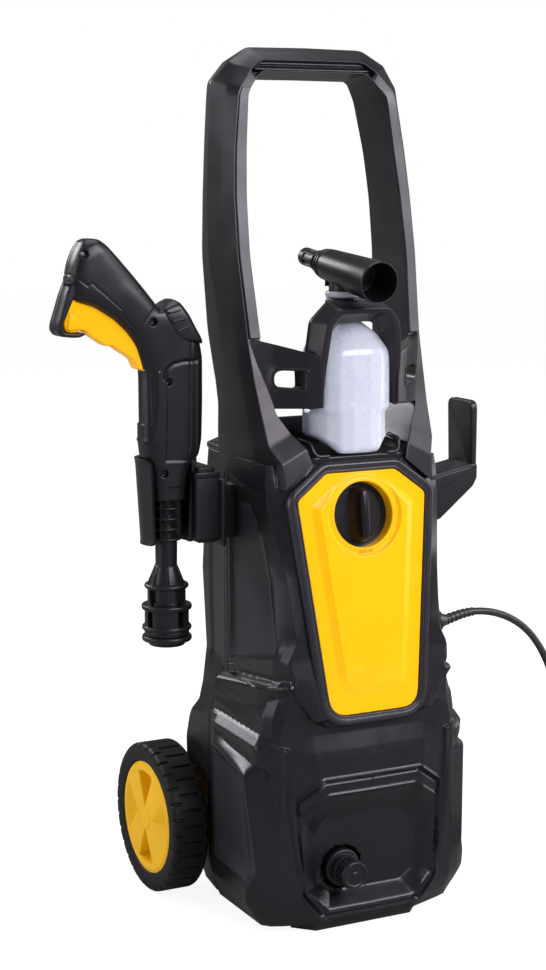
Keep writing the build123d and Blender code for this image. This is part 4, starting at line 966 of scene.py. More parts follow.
def yellowPanel():
    # points that fall in the dish are gathered on its rim, and the dish itself is a turned body
    u, v, height, away = panelFace()
    radius = panelPlan["dishRadius"]
    inDish = away < radius
    scale = radius / np.maximum(away, tiny)
    u, v = np.where(inDish, u * scale, u), np.where(inDish, switchUp + (v - switchUp) * scale, v)
    rings = np.concatenate([place(panelPlane, u[:1], v[:1], panelPlan["skirt"]), place(panelPlane, u, v, height - 0.8)])
    gone = np.concatenate([np.zeros_like(inDish[:1]), inDish]).ravel()
    faces = [face for face in gridFaces(*rings.shape[:2], aroundColumns=True) if not gone[face].all()]
    profile = [(radius + 2.0, -1.2), (radius + 1.4, 0.0), (radius + 0.2, 0.2), (radius - 0.2, -1.2),
               (radius - 0.6, -17.4), (radius - 2.4, -19.0), (4.6, -19.0), (4.6, -21.0), (radius + 1.6, -21.0)]
    dish = lathe(roundProfile(profile, 0.8), switchCentre, panelPlane[3], 96)
    return joined((rings.reshape(-1, 3), faces), hoop(dish, turned=True))


def frameRing():
    # the frame as a section carried round the panel's outline: a groove by the panel, a crowned band,
    # a rounded outer shoulder and a wall down into the case
    base = resample(panelOutline(), 360, closed=True)
    return hoop([place(panelPlane, *insetOutline(base, -out).T, level)
                 for out, level in roundProfile(panelPlan["frame"], 0.5, 3)], turned=True)


def switchKnob():
    # a turned disc with a raised rim, and a grip bar across it whose sides flare into the disc
    radius, level, columns = panelPlan["knobRadius"], -panelPlan["knobSink"], panelPlan["knobColumns"]
    profile = [(0, level - 5.4), (radius - 1, level - 5.4), (radius, level - 4.4), (radius, level - 0.4),
               (radius - 1.0, level + 1.0), (radius - 2.6, level + 0.9), (radius - 3.6, level - 1.2), (0, level - 1.2)]
    disc = turned(profile, switchCentre, panelPlane[3], 96, 0.5)
    stem = turned([(0, -36), (4, -36), (4, level - 3), (0, level - 3)], switchCentre, panelPlane[3], 32, 0.4)
    # grip: rows rise from the disc to the crest; half width shrinks with height, ends are rounded and raked
    rise = np.append(np.linspace(0, 1, 14), 1.0)[:, None]
    crest = np.arange(len(rise))[:, None] == len(rise) - 1
    halfWidth = 4.0 + 7.0 * (1 - rise) ** 2.4 - 0.9 * crest
    halfLength = radius - 2.6 - 3.2 * rise ** 2 - 0.9 * crest
    c, s = np.cos(fullTurn(columns)), np.sin(fullTurn(columns))
    u = halfWidth * np.sign(c) * np.abs(c) ** 0.55
    v = halfLength * np.sign(s) * np.abs(s) ** 0.55
    w = level - 1.0 + 15.8 * rise + 0.7 * crest + rise * (s * 0.5 - 0.5)
    return joined(disc, stem, tube(place(panelPlane, u, switchUp + v, w)))


def switchMarks():
    # the position marks under the switch, moulded proud: three letters, a bar and a ring
    marks = bpy.data.curves.new("marks", "FONT")
    marks.body, marks.align_x = "OFF I 0", "CENTER"
    marks.size, marks.extrude, marks.bevel_depth = 5.0, 0.22, 0.06
    flat, faces = asMesh(marks)
    # bent round the dish: across becomes an angle, height becomes a radius
    radius, angle = 33.2 + 1.8 - flat[:, 1], -pi / 2 + flat[:, 0] / 34
    return place(panelPlane, radius * np.cos(angle), switchUp + radius * np.sin(angle), flat[:, 2] + 0.12), faces


addPiece("yellowPanel", yellowPanel(), finishes["yellowPanel"], body="machine", stands="front_panel",
         slot="yellow_plastic", merge=0.02, sharp=50)
addPiece("panelFrame", frameRing(), finishes["frameSatin"], body="machine", stands="panel_bezel", slot="black_gloss",
         merge=0)
addPiece("switchKnob", switchKnob(), finishes["glossBlack"], body="knob", stands="switch_knob", slot="black_gloss",
         merge=0, sharp=40)
addPiece("switchMarks", switchMarks(), finishes["markYellow"], body="machine", slot="yellow_plastic", smooth=False,
         merge=0.01)
print("panel, frame and switch")


# handle: a faceted loop, its trim with the grip, and the deck

handlePlan = dict(
    # edges of the loop's section from the lower rim up to the middle of the top: x, y, z
    frontInner=[(48, -90, 430), (52, -87, 444), (62, -75, 457), (72.5, -66, 475), (76, -56, 505), (77, -43, 541),
                (80.5, -30, 614), (79, -21, 665), (75.5, -14, 710), (71, -9, 757), (66, -6, 763.5), (59.4, -4, 771.8),
                (52.6, -3, 776.8), (0, -3, 777)],
    frontOuter=[(75, -90, 408.5), (77, -87, 431), (85, -76, 446), (86.5, -63, 478), (88, -55, 500), (89.5, -43, 540),
                (92.5, -29, 614), (91.5, -20, 666), (88, -14, 711), (81.5, -9, 757), (78, -8, 763), (65, -2, 779),
                (53, 2, 788), (0, 2, 788.5)],
    flank=[(86, -51, 412.6), (84.8, -50, 431), (87, -45, 447), (88, -36, 478), (89.5, -30, 502), (91.5, -22, 540),
           (95, -6, 613), (95, 0, 664), (93, 1, 715), (89, 2, 757), (87.5, 2, 765), (76, 4, 782), (59, 8, 793),
           (0, 9, 794.5)],
    ridge=[(88, 7, 414), (88, -6, 431.3), (88.5, -5, 447), (88.6, -3, 478), (90.5, 0, 505), (93, 5, 540),
           (97.6, 20, 610), (98, 22, 660), (98, 19, 722), (95.5, 19, 757), (95, 22, 768), (81, 13, 785.5),
           (60, 19, 799.3), (0, 19, 800)],
    backOuter=[(88, 15, 416), (88, 22, 433), (88.5, 22, 450), (88.5, 24, 475), (90, 30, 505), (91, 40, 545),
               (92.5, 46, 614), (92, 46, 662), (90, 45, 718), (89, 43, 757), (88, 42, 768), (75, 38, 786),
               (56, 36, 797.5), (0, 36, 798)],
    backInner=[(56, 15, 432), (48, 10, 446), (52, 10, 456), (66, 14, 475), (78, 24, 503), (84, 36, 541),
               (88.5, 46, 614), (84, 46, 664), (77, 45, 705), (64, 42, 752), (60, 42, 761.5), (56, 41, 768),
               (52.5, 41, 770.5), (0, 41, 770.8)],
    # how far the path's bend at each of them is rounded
    softness=[0, 1.5, 2.5, 4, 7, 9, 9, 9, 9, 6, 3, 3, 4, 5, 5],
    # depth of the grip's groove beside each of them
    groove=[0, 0, 0, 0, 0, 0, 0, 0, 0, 0, 0, 0.2, 7.5, 7.5],
    grooveShares=(0.10, 0.20, 0.82, 0.92), grooveDepth=7.5,
    edgeRadii=[1.4, 0.8, 1.6, 1.6, 0.8, 1.4, 14, 5, 5, 3],
    trimShare=(0.03, 0.86), trimHeight=2.8, trimLow=541.0, trimHigh=762.0,
    gripLow=777.2, gripHigh=787.6, deckLow=429.0, deckTop=436.0,
)


def handleRails():
    # the edges with the path's corners rounded, each point with its groove depth: edges x stations x 4
    rails, softness = [], handlePlan["softness"]
    for name in ("frontInner", "frontOuter", "flank", "ridge", "backOuter", "backInner"):
        half = np.column_stack([np.array(handlePlan[name], float), handlePlan["groove"]])
        # the end wall of the groove is steep: one more station just past its end
        end = half[11] + (half[12] - half[11]) * 0.14
        end[3] = handlePlan["grooveDepth"]
        whole = bothHalves(np.vstack([half[:12], end, half[12:]]))
        rails.append(roundProfile(whole, softness + softness[-2::-1], 4))
    return np.stack(rails)


def handleLoop():
    a, b, c, d = handlePlan["grooveShares"]
    rings = []
    for station in np.moveaxis(handleRails(), 1, 0):
        (inner, outer), depth = station[:2, :3], station[0, 3]
        across = outer - inner
        inward = station[:, :3].mean(0) - (inner + outer) / 2
        inward -= across * (inward @ across) / (across @ across)
        inward /= np.linalg.norm(inward)
        front = [inner, inner + across * a, inner + across * b + inward * depth, inner + across * c + inward * depth,
                 inner + across * d, outer]
        corners = np.vstack([front, station[2:, :3]])
        # crisp edges at the shoulders, softer ones above
        upper = smoothStep((corners[:, 2].mean() - 440) / 60)
        radii = np.array(handlePlan["edgeRadii"]) * (0.2 + 0.8 * upper)
        rings.append(roundedOutline(corners, np.maximum(radii, 0.8), 4))
    return tube(rings)


def trimStrip(side):
    # a proud strip in the front face of one upright, from its cut lower end up to the corner of the grip
    rails = handleRails()[:, :, :3]
    half = rails.shape[1] // 2 + 1
    z = np.linspace(handlePlan["trimLow"], handlePlan["trimHigh"], 40)
    inner, outer, middle = (np.stack([np.interp(z, line[:half, 2], line[:half, k]) for k in range(3)], 1)
                            for line in (rails[0], rails[1], rails.mean(0)))
    across, out = outer - inner, (inner + outer) / 2 - middle
    out = unit(out - across * ((out * across).sum(1) / (across * across).sum(1))[:, None])
    fade = track([(541, 1), (600, 0.8), (750, 0.5), (762, 0.3)], z)[:, None] * handlePlan["trimHeight"]
    left, right = (inner + across * share for share in handlePlan["trimShare"])
    section = [left - out * 1.5, left + out * (fade - 0.5), left + across * 0.05 + out * fade,
               right - across * 0.05 + out * fade, right + out * (fade - 0.5), right - out * 1.5]
    return tube(np.stack(section, 1) * (side, 1, 1), turned=side < 0)


def gripInsert():
    # two glossy rounded bars side by side in the groove of the top
    low, high = handlePlan["gripLow"], handlePlan["gripHigh"]
    along = np.concatenate([[-60.5, -60, -58], np.linspace(-55, 55, 23), [58, 60, 60.5]])[:, None]
    swell = np.array([0.15, 0.7, 0.95] + [1] * 23 + [0.95, 0.7, 0.15])[:, None]
    share = np.linspace(0, 1, 29)[None]
    crest = 2.0 * np.abs(np.sin(share * 2 * pi)) ** 0.7 - 4.4
    y = -1.0 + 5.0 * share - crest - (swell - 1) * 2 - 0.4
    z = low + (high - low) * (0.5 + (share - 0.5) * swell)
    front = np.stack(np.broadcast_arrays(along, y, z), -1)
    return tube(np.concatenate([front, front[:, [-1, 0]] + (0, 3.5, 0)], axis=1))


def deckTray():
    # the deck between the shoulders: a floor, a raised wall behind the bottle, the cover over the back of the case,
    # and on each side a ledge that climbs beside the bottle's foot
    low, top = handlePlan["deckLow"], handlePlan["deckTop"]
    floorOutline = [(-52, -84), (-44, -87.5), (44, -87.5), (52, -84), (60, 20), (-60, 20)]
    wallOutline = [(-66, 434), (66, 434), (58, 456), (48, 461), (-48, 461), (-58, 456)]
    coverOutline = [(-87, 2), (87, 2), (83.2, 57), (61, 81.8), (-61, 81.8), (-83.2, 57)]
    pieces = [bevelledSlab(roundedOutline(floorOutline, 3), floorPlane, low, top, 1.5),
              bevelledSlab(roundedOutline(wallOutline, 4), frontPlane, -15, -7, 1.5),
              bevelledSlab(roundedOutline(coverOutline, 3), floorPlane, low + 1.2, top, 1.8)]
    ledge = np.array([(30, -86, 436.2), (40, -86, 436.2), (43.5, -84, 439), (45.5, -80, 447.5), (47, -60, 449)])
    for side in (-1, 1):
        line = roundProfile(ledge * (side, 1, 1), 3.0, 4)
        pieces.append(tubeAlong(line, np.full(len(line), 2.0), 12))
    return joined(*pieces)


addPiece("handleFrame", handleLoop(), finishes["handleBlack"], body="machine", stands="handle_frame",
         slot="black_case", merge=0, sharp=38)
addPiece("handleTrim", joined(trimStrip(1), trimStrip(-1)), finishes["trimBlack"], body="machine",
         stands="handle_trim", slot="black_case", merge=0, sharp=30)
addPiece("gripInsert", gripInsert(), finishes["glossBlack"], body="machine", slot="black_gloss", merge=0)
addPiece("deckTray", deckTray(), finishes["caseSatin"], body="machine", slot="black_gloss", merge=0, sharp=40)
print("handle")


# accessory holder: the yoke round the bottle and its two arms

holderPlan = dict(
    back=-79.0, frontTop=-98.0, lean=0.12,
    # right half of the yoke from its foot: outer edge behind, outer edge in front, inner edge (x, z)
    outerBack=[(44, 478), (47.5, 530), (43.5, 557), (26.5, 573.5), (0, 574)],
    outerFront=[(41, 480.5), (40, 530), (37, 555), (25.7, 568), (0, 568.3)],
    innerFront=[(37, 480), (34.5, 520), (31, 553.5), (22.5, 563.4), (0, 563.7)],
    innerBack=[(35, 482), (29.5, 520), (24.5, 545), (16.5, 554.5), (0, 554.8)],
)


def yokeArch():
    # an arch of a four-sided section: a flat front rim, a wide outer chamfer, and the reveal inside
    front, back, lean = holderPlan["frontTop"], holderPlan["back"], holderPlan["lean"]
    rails = []
    for name, depth, tilt in (("innerBack", back, 0), ("innerFront", front + 0.8, lean), ("outerFront", front, lean),
                              ("outerBack", back + 1, 0), ("outerBack", back + 7, 0)):
        half = [(x, depth + tilt * (568 - z), z) for x, z in holderPlan[name]]
        rails.append(roundProfile(bothHalves(half), 3.5, 5))
    return tube([roundedOutline(corners, [1, 0.9, 1.2, 1.6, 1], 3) for corners in np.stack(rails, 1)])


def armSheet(side, points, depth):
    # points of the arm on its sheet: y is level with the yoke inside, and back to the upright outside
    x, z = points.T
    y = track([(38, -92), (45, -88.5), (52, -84), (73, -64.5), (88, -44)], x)
    y = y + (depth if depth < 5 else track([(38, 16), (52, 22), (76, 15), (88, 12)], x))
    y = y - 0.0014 * (z - 505) ** 2 * track([(44, 0), (60, 1), (76, 0.6), (88, 0)], x)
    return np.stack([side * x, y, z], 1)


def yokeArm(side):
    # Arm from the yoke back to the upright, as a plate on a sheet that bends backwards:
    # rings of its outline round the window, in front and behind.
    window = roundedOutline([(51.6, 496.5), (73, 498), (73, 513.5), (52, 513)], [3, 7, 7, 3], 6)
    outline = [(38, 480.5), (84, 478.5), (87, 482), (88, 538), (85, 540), (38, 526)]
    window, outline = (resample(line, 96, closed=True) for line in (window, outline))
    middle = window.mean(0)
    window, outline = (line[np.argsort(np.arctan2(*(line - middle).T[::-1]))] for line in (window, outline))
    rings = [(window, 7.5), (window, 0.8)]
    rings += [(window + (window - middle) * grow, depth)
              for grow, depth in ((0.05, 0.1), (0.14, -0.5), (0.24, -0.4), (0.30, 0.3))]
    rings += [(window * (1 - share) + outline * share, 0.3 if share < 0.99 else 0.7)
              for share in np.linspace(0.35, 1, 9)]
    rings += [(outline, 2.0), (outline, 7.5)]
    return hoop([armSheet(side, line, depth) for line, depth in rings], turned=side > 0)


addPiece("accessoryHolder", joined(yokeArch(), yokeArm(1), yokeArm(-1)), finishes["handleBlack"], body="machine",
         stands="accessory_holder", slot="black_case", merge=0, sharp=38)
print("accessory holder")


# foam bottle, its collar and the foam nozzle

bottlePlan = dict(
    axis=(0.0, -60.0, 0.0), low=437.5, neckRadius=13.0, neckLevels=(557.0, 562.0), columns=160,
    # right half of the section from the front: x, y
    upper=[(9, -95.5), (21, -93), (34, -84.5), (35.8, -76), (35.8, -49), (26, -29), (17, -20)],
    lower=[(9, -95.5), (20, -92), (30, -83), (39.5, -66), (39.5, -54), (27, -30), (18, -20)],
    # how far the shoulder has run into the neck over the height
    shoulder=[(523, 0), (527, 0.01), (531, 0.07), (537, 0.24), (545.4, 0.5), (551, 0.78), (554.5, 0.94), (557, 1)],
    nozzleAxis=600.0, nozzleTilt=7.5, nozzleFront=-63.5, nozzleRear=37.0,
)


def radiusAt(outline, centre, angles):
    # radius of a star-shaped outline round a centre at given angles
    points = resample(outline, 1440, closed=True) - centre
    around = np.arctan2(points[:, 1], points[:, 0])
    order = np.argsort(around)
    return np.interp(angles, around[order], np.hypot(*points.T)[order], period=2 * pi)


def foamBottle():
    # rings over the height: the section widens in the lower lobe, its rim is rounded below,
    # and above the shoulder it runs into the round neck
    (x0, y0, _), low, neck = bottlePlan["axis"], bottlePlan["low"], bottlePlan["neckRadius"]
    angles = np.linspace(-pi, pi, bottlePlan["columns"], endpoint=False)
    c, s = np.cos(angles), np.sin(angles)
    upper, lower = (radiusAt(roundedOutline(mirroredOutline(bottlePlan[name]), [8, 9, 8, 9, 10, 10, 8] * 2, 6),
                             (x0, y0), angles) for name in ("upper", "lower"))
    above = np.concatenate([np.linspace(0, 12, 13), np.linspace(14, 34, 10), np.linspace(35, 46, 12),
                            np.linspace(50, 84, 10), np.linspace(85, 119, 35)])[:, None]
    lobe = smoothStep(track([(0, 0.35), (12, 1), (34, 1), (42, 0)], above))
    radius = upper * (1 - lobe) + lower * lobe
    radius = radius - 7.5 * (1 - np.sqrt(np.clip(1 - (1 - np.minimum(above, 9) / 9) ** 2, 0, 1)))
    narrow = track(bottlePlan["shoulder"], above + low)
    radius = radius * (1 - narrow) + neck * narrow
    x, y = x0 + radius * c, y0 + radius * s
    tilt = 12.5 * smoothStep(np.maximum((np.abs(x) - 17) / 17, (y + 88) / 28)) * np.clip(1 - above / 30, 0, 1)
    levels = np.array(bottlePlan["neckLevels"])[:, None]
    rings = np.stack([x, y, above + low + tilt], -1)
    return tube(np.concatenate([rings, np.stack(np.broadcast_arrays(x0 + neck * c, y0 + neck * s, levels), -1)]))


def gripped(profile, centre, axis, count, ribs, depth, where):
    # a turned body whose radius ripples with the angle where its profile is marked
    out = unit(lathe(profile, centre, axis, count) - centre - profile[:, 1, None, None] * np.array(axis))
    ripple = depth * where[:, None] * np.cos(fullTurn(count) * ribs)
    return tube(lathe(profile, centre, axis, count) + out * ripple[..., None], turned=True)


def screwCollar():
    # a turned ring whose skirt has grip ribs
    profile = roundProfile([(0, 557.5), (16.2, 557.5), (17.2, 559), (17.2, 573), (15.8, 576), (15.2, 579.6),
                            (0, 579.6)], 0.6, 3)
    radius, z = profile.T
    return gripped(profile, bottlePlan["axis"], upright, 192, 32, 0.35, (z > 558) & (z < 574) & (radius > 10))


def foamNozzle():
    tilt = radians(bottlePlan["nozzleTilt"])
    axis, right, up = np.array([[0, cos(tilt), sin(tilt)], [1, 0, 0], [0, -sin(tilt), cos(tilt)]])
    centre = np.array([0, -60, bottlePlan["nozzleAxis"]])
    front, rear = bottlePlan["nozzleFront"], bottlePlan["nozzleRear"]
    # the barrel narrows backwards, with a rounded lip, a deep bore and two grooves before its end
    barrel = [(r, front + along) for r, along in [(0, 34), (14.5, 34), (17.2, 1.2), (17.6, 0), (18.5, 0), (19.0, 1)]]
    barrel += [(r, rear - along) for r, along in
               [(14.9, 13), (14.7, 11), (13.5, 10.6), (13.5, 9), (14.6, 8.6), (14.4, 6), (13.1, 5.6), (13.1, 4),
                (14.0, 3.6), (13.6, 0.8), (12.4, 0), (0, 0)]]
    # the plug: a neck, a collar with flats, and two bayonet steps
    plug = [(r, rear + along) for r, along in
            [(0, -2), (9.6, -2), (9.6, 4), (7.2, 5), (7.2, 8), (10.0, 9), (10.0, 12.5), (7.2, 13.5), (7.2, 29),
             (8.5, 30), (8.5, 38), (6.8, 40.5), (0, 40.5)]]
    # the stem below flares down to the collar
    stem = [(0, 578), (14.6, 578), (14.4, 583), (12.8, 590), (12.6, 598), (0, 598)]
    pieces = [turned(barrel, centre, axis, 96, 0.8), turned(plug, centre, axis, 64, 0.6),
              turned(stem, bottlePlan["axis"], upright, 64, 1.5)]
    # lengthwise ribs between the plug's steps
    for angle in fullTurn(8):
        out = cos(angle) * right + sin(angle) * up
        at = centre + axis * (rear + 22) + out * 7.6
        pieces.append(block(at, np.cross(out, axis), axis, out, (2.2, 16, 2.2)))
    # ribs that climb from the stem round the underside of the barrel
    for k in range(5):
        along = 20 - 6.5 * k
        at = centre + axis * along + np.array([0, 0, -13.0 - 0.35 * k])
        pieces.append(block(at, axis, up, right, (1.8, 9, 18 - k)))
        pieces.append(block((0, -60 + along * 0.62, 588), axis, (0, 0.1, 1), right, (1.6, 14, 19 - k * 2)))
    return joined(*pieces)


sealProfile = [(0, 576), (16.6, 576), (17.4, 577), (17.4, 580.6), (16.4, 581.6), (0, 581.6)]
addPiece("foamBottle", foamBottle(), finishes["bottleMilk"], body="bottle", stands="foam_bottle",
         slot="white_plastic", merge=0)
addPiece("bottleCollar", screwCollar(), finishes["gunBlack"], body="nozzle", stands="bottle_collar",
         slot="black_case", merge=0)
addPiece("collarSeal", turned(sealProfile, bottlePlan["axis"], upright, 64, 0.6), finishes["bottleMilk"],
         body="nozzle", slot="white_plastic", merge=0)
addPiece("foamNozzle", foamNozzle(), finishes["gunBlack"], body="nozzle", stands="foam_nozzle", slot="black_case",
         merge=0, sharp=40)
print("bottle and nozzle")


# spray gun

gunPlan = dict(
    axisX=-149.0, axisY=5.0, power=2.9, rows=400, columns=132, screwDepth=11.0,
    # from the end of the grip to the foot of the barrel: lower edge, back edge (x, z), half thickness
    stations=[((-230, 627), (-223, 630), 9), ((-235, 619.5), (-214, 629.7), 14.5), ((-239.5, 609), (-206, 624), 17),
              ((-243.5, 592), (-195, 612.5), 17.8), ((-241, 576), (-182, 598), 18), ((-221, 570), (-171, 585), 18),
              ((-203, 559), (-163, 575), 18), ((-190.5, 547.5), (-156.5, 567.5), 18),
              ((-181, 534), (-147, 570.8), 18), ((-178.5, 526), (-134, 569.5), 18),
              ((-176.5, 519), (-125.5, 555.5), 18), ((-174.6, 512), (-117.0, 537), 18),
              ((-174.2, 505), (-114.4, 522), 18), ((-174.2, 480), (-114.5, 482), 18),
              ((-174, 448), (-115.5, 448), 18), ((-172.5, 434), (-118.5, 433), 17.8),
              ((-168.0, 424), (-129, 424), 17.4), ((-166.2, 414), (-131.8, 414), 17),
              ((-165.8, 394), (-132.2, 394), 16.5)],
    parting=[(-246, 602.5), (-228.4, 589), (-224.7, 591.5), (-196.2, 567), (-195.2, 561.5), (-183.6, 549.8),
             (-179.3, 551.1), (-169, 564.1), (-161, 572)],
    screws=[(-230.6, 617), (-166.9, 556.1), (-152.3, 501.6), (-157, 419)], screwRadius=3.3,
    panel=[(-124, 520), (-137, 520), (-148, 518), (-154.4, 513), (-156, 505), (-154, 486), (-156, 430), (-124, 428)],
    slot=[(-180, 464), (-168.2, 463.4), (-169.4, 513), (-180, 513)],
    guard=[((-240, 598), (-232, 584), 12), ((-246.5, 583), (-239.5, 577), 12), ((-250.5, 570), (-244, 567), 12),
           ((-255, 556), (-249.5, 556), 12), ((-255.5, 550), (-249.5, 552), 12), ((-252, 545.4), (-247.5, 549.2), 12),
           ((-241, 543.9), (-240.5, 548.2), 12), ((-234, 543.9), (-233, 548.2), 12),
           ((-229, 546), (-229.3, 547.8), 10)],
    trigger=[(-178.5, 513.5), (-170, 511), (-163, 514), (-162, 524), (-170, 541), (-184, 557), (-202, 572),
             (-221, 584), (-240.5, 588), (-248.4, 556), (-247, 550), (-243, 548), (-237, 548), (-232, 550),
             (-229.5, 549.6), (-210.5, 536.6), (-206.5, 535), (-202.5, 535.4), (-183, 522.6)],
    # the pad from top to bottom: left edge, right edge (x, z), half thickness
    pad=[((-152, 571), (-143, 575), 10), ((-158.5, 566), (-138, 572.6), 17), ((-158.5, 559), (-129.5, 561.5), 18.7),
         ((-154, 551), (-123.5, 550), 18.9), ((-148, 543.5), (-118.2, 541), 18.9),
         ((-140, 539), (-116.5, 536.5), 18.6), ((-131, 537), (-117, 534.5), 15)],
    padRibs=[((-152.5, 563.8), (-141.5, 566)), ((-149.3, 555.8), (-137.7, 558)), ((-145, 547.3), (-134.5, 550.8))],
)
gunAxis = (gunPlan["axisX"], gunPlan["axisY"], 0)


def housing(stations, rows, columns, power, front):
    # Half a shell whose section at each step is a superellipse between its two edges, at even steps and with
    # softened corners. Its angle is 0 at the back edge and pi at the lower edge, by way of the front.
    rail = np.array([(*low, *back, half) for low, back, half in stations], float)
    rail = resample(roundProfile(rail, 6.0, 4), rows)
    angle = np.linspace(0, pi, columns) if front else np.linspace(pi, 2 * pi, columns)
    c, s = (np.sign(wave) * np.abs(wave) ** (2 / power) for wave in (np.cos(angle), np.sin(angle)))
    middle, reach = (rail[:, 0:2] + rail[:, 2:4]) / 2, (rail[:, 2:4] - rail[:, 0:2]) / 2
    x, z = (middle[:, k:k + 1] + reach[:, k:k + 1] * c for k in (0, 1))
    return np.stack([x, gunPlan["axisY"] - rail[:, 4:] * s, z], -1)


def lineDistance(x, z, line):
    # the distance of points from a line of straight runs
    best = np.full(x.shape, 1e9)
    for a, b in zip(np.array(line[:-1], float), np.array(line[1:], float)):
        way = b - a
        share = np.clip(((x - a[0]) * way[0] + (z - a[1]) * way[1]) / (way @ way), 0, 1)
        best = np.minimum(best, np.hypot(x - a[0] - share * way[0], z - a[1] - share * way[1]))
    return best


def insideShare(x, z, outline, width):
    # 1 inside a closed outline of any shape, 0 outside, with a soft step of the given width
    corners = np.asarray(outline, float)
    inside = np.zeros(x.shape, bool)
    for a, b in zip(corners, np.roll(corners, -1, axis=0)):
        crossing = (a[1] > z) != (b[1] > z)
        inside ^= crossing & (x < (b[0] - a[0]) * (z - a[1]) / (b[1] - a[1] if b[1] != a[1] else tiny) + a[0])
    away = lineDistance(x, z, list(outline) + [outline[0]])
    return smoothStep(np.where(inside, 0.5 + away / width, 0.5 - away / width))


def gunShell(front):
    # one half of the housing, with the parting line, the sunk panel, the slot and the screw wells pressed into it
    grid = housing(gunPlan["stations"], gunPlan["rows"], gunPlan["columns"], gunPlan["power"], front)
    x, y, z = np.moveaxis(grid, -1, 0)
    normal = gridNormals(softened(grid, 4))
    outward = np.sign((normal[..., 1] * (-1 if front else 1)).mean())
    flank = np.clip(np.abs(y - gunPlan["axisY"]) / 8, 0, 1)
    push = -0.8 * bell(lineDistance(x, z, gunPlan["parting"]), 0.75)
    push -= 1.1 * insideShare(x, z, gunPlan["panel"], 2.4)
    push -= 1.4 * bell(lineDistance(x, z, gunPlan["panel"][:5]), 1.6) * (z > 500)
    push -= 1.6 * insideShare(x, z, gunPlan["slot"], 1.0)
    # a ridge beside the slot that turns outwards below it, and a line down the far edge
    push += 0.9 * bell(lineDistance(x, z, [(-162, 510), (-161.5, 486), (-166, 449), (-180, 448)]), 1.5)
    push -= 0.7 * bell(lineDistance(x, z, [(-129.3, 538), (-131, 500), (-131.5, 440)]), 0.8)
    push -= 0.9 * smoothStep((407 - z) / 1.5)
    for sx, sz in gunPlan["screws"] if front else ():
        push -= 5.0 * smoothStep((gunPlan["screwRadius"] + 0.5 - np.hypot(x - sx, z - sz)) / 1.1)
    grid = grid + normal * outward * (push * flank)[..., None]
    # the cut along the middle plane, a hair short of it so that a fine seam shows
    grid[:, [0, -1], 1] = gunPlan["axisY"] - (0.12 if front else -0.12)
    return tube(grid)


for name, part, front in (("gunShellFront", "gun_shell_front", True), ("gunShellBack", "gun_shell_back", False)):
    pieces = [gunShell(front), tube(housing(gunPlan["guard"], 90, 24, 4.5, front))]
    if front:
        # the little stud on the end of the grip
        stud = [(0, -6), (2.6, -6), (2.6, 0.6), (1.6, 1.6), (0, 1.6)]
        pieces.append(turned(stud, (-246.5, -3, 592), (-1, -0.2, 0.1), 24, 0.5))
    addPiece(name, joined(*pieces), finishes["gunBlack"], body="gun", stands=part, slot="black_case", merge=0)


def gunScrew(x, z):
    # a pan head with a cross in it, deep in its well
    profile = [(0, -10), (1.4, -10), (1.4, -2.2), (2.9, -2.2), (2.9, -0.6), (1.8, 0), (0, 0)]
    surface = gunPlan["axisY"] - gunPlan["screwDepth"]
    head = lathe(roundProfile(profile, 0.3, 2), (x, surface, z), frontPlane[3], 24)
    return [tube(head, turned=True)] + [block((x, surface - 0.1, z), *frontPlane[1:], size)
                                        for size in ((2.4, 0.5, 0.3), (0.5, 2.4, 0.3))]


def triggerBlade():
    outline = roundedOutline(gunPlan["trigger"], [2, 3, 4, 4, 4, 6, 6, 5, 3, 3, 3, 3, 3, 3, 3, 4, 4, 4, 8], 5)
    # a finger pad along the middle of the lower edge
    pad = roundedOutline([(-246, 552), (-243, 549.6), (-233, 551.2), (-231, 556), (-240, 566), (-244, 565)], 2, 3)
    return joined(bevelledSlab(outline, frontPlane, -13.5, 3.5, 2.2, 4), bevelledSlab(pad, frontPlane, -12, 4.7, 2.0))


def thumbPad():
    front, back = (housing(gunPlan["pad"], 60, 40, 4.2, side) for side in (True, False))
    pieces = [tube(np.concatenate([front, back[:, 1:-1]], axis=1))]
    for (x0, z0), (x1, z1) in gunPlan["padRibs"]:
        way = np.array([x1 - x0, 0, z1 - z0])
        length = np.linalg.norm(way)
        rib = [(0, -0.6), (0.5, -0.4), (0.95, 0.6), (0.95, length - 0.6), (0.5, length + 0.4), (0, length + 0.6)]
        pieces += [turned(rib, (x0, y, z0), way / length, 16, 0.3) for y in (-14.3, 24.1)]
    return joined(*pieces)


def finnedSleeve():
    # the pipe with its four discs and four upright fins, then the plain pipe and the buttressed flare
    profile = [(0, 298), (9.8, 298), (9.8, 316), (10.2, 356), (7.2, 357), (7.2, 396), (12, 400), (12, 430), (0, 430)]
    pieces = [turned(profile, gunAxis, upright, 48, 0.6)]
    for z in 386 - 9.6 * np.arange(4):
        disc = [(0, z - 1.3), (14.0, z - 1.3), (14.9, z), (14.0, z + 1.3), (0, z + 1.3)]
        pieces.append(turned(disc, gunAxis, upright, 48, 0.7))
    for angle in pi / 4 + fullTurn(4):
        out = np.array([cos(angle), sin(angle), 0])
        at = np.array(gunAxis) + out * 7 + (0, 0, 376)
        pieces.append(block(at, np.cross(out, upright), upright, out, (2.4, 40, 14)))
    flare = [(0, 311), (19.2, 311), (20.4, 312.6), (20.4, 314), (19.2, 315.6), (0, 315.6)]
    cone = [(0, 315), (15.5, 315), (10.4, 332), (0, 332)]
    pieces += [turned(flare, gunAxis, upright, 64, 0.8), turned(cone, gunAxis, upright, 48, 1.0)]
    fin = roundedOutline([(9, 315), (18.2, 315), (10.6, 333), (9, 333)], 0.8, 2)
    for angle in 0.3 + fullTurn(6):
        out = np.array([cos(angle), sin(angle), 0])
        pieces.append(bevelledSlab(fin, (gunAxis, out, upright, np.cross(out, upright)), -0.9, 0.9, 0.4, 2))
    return joined(*pieces)


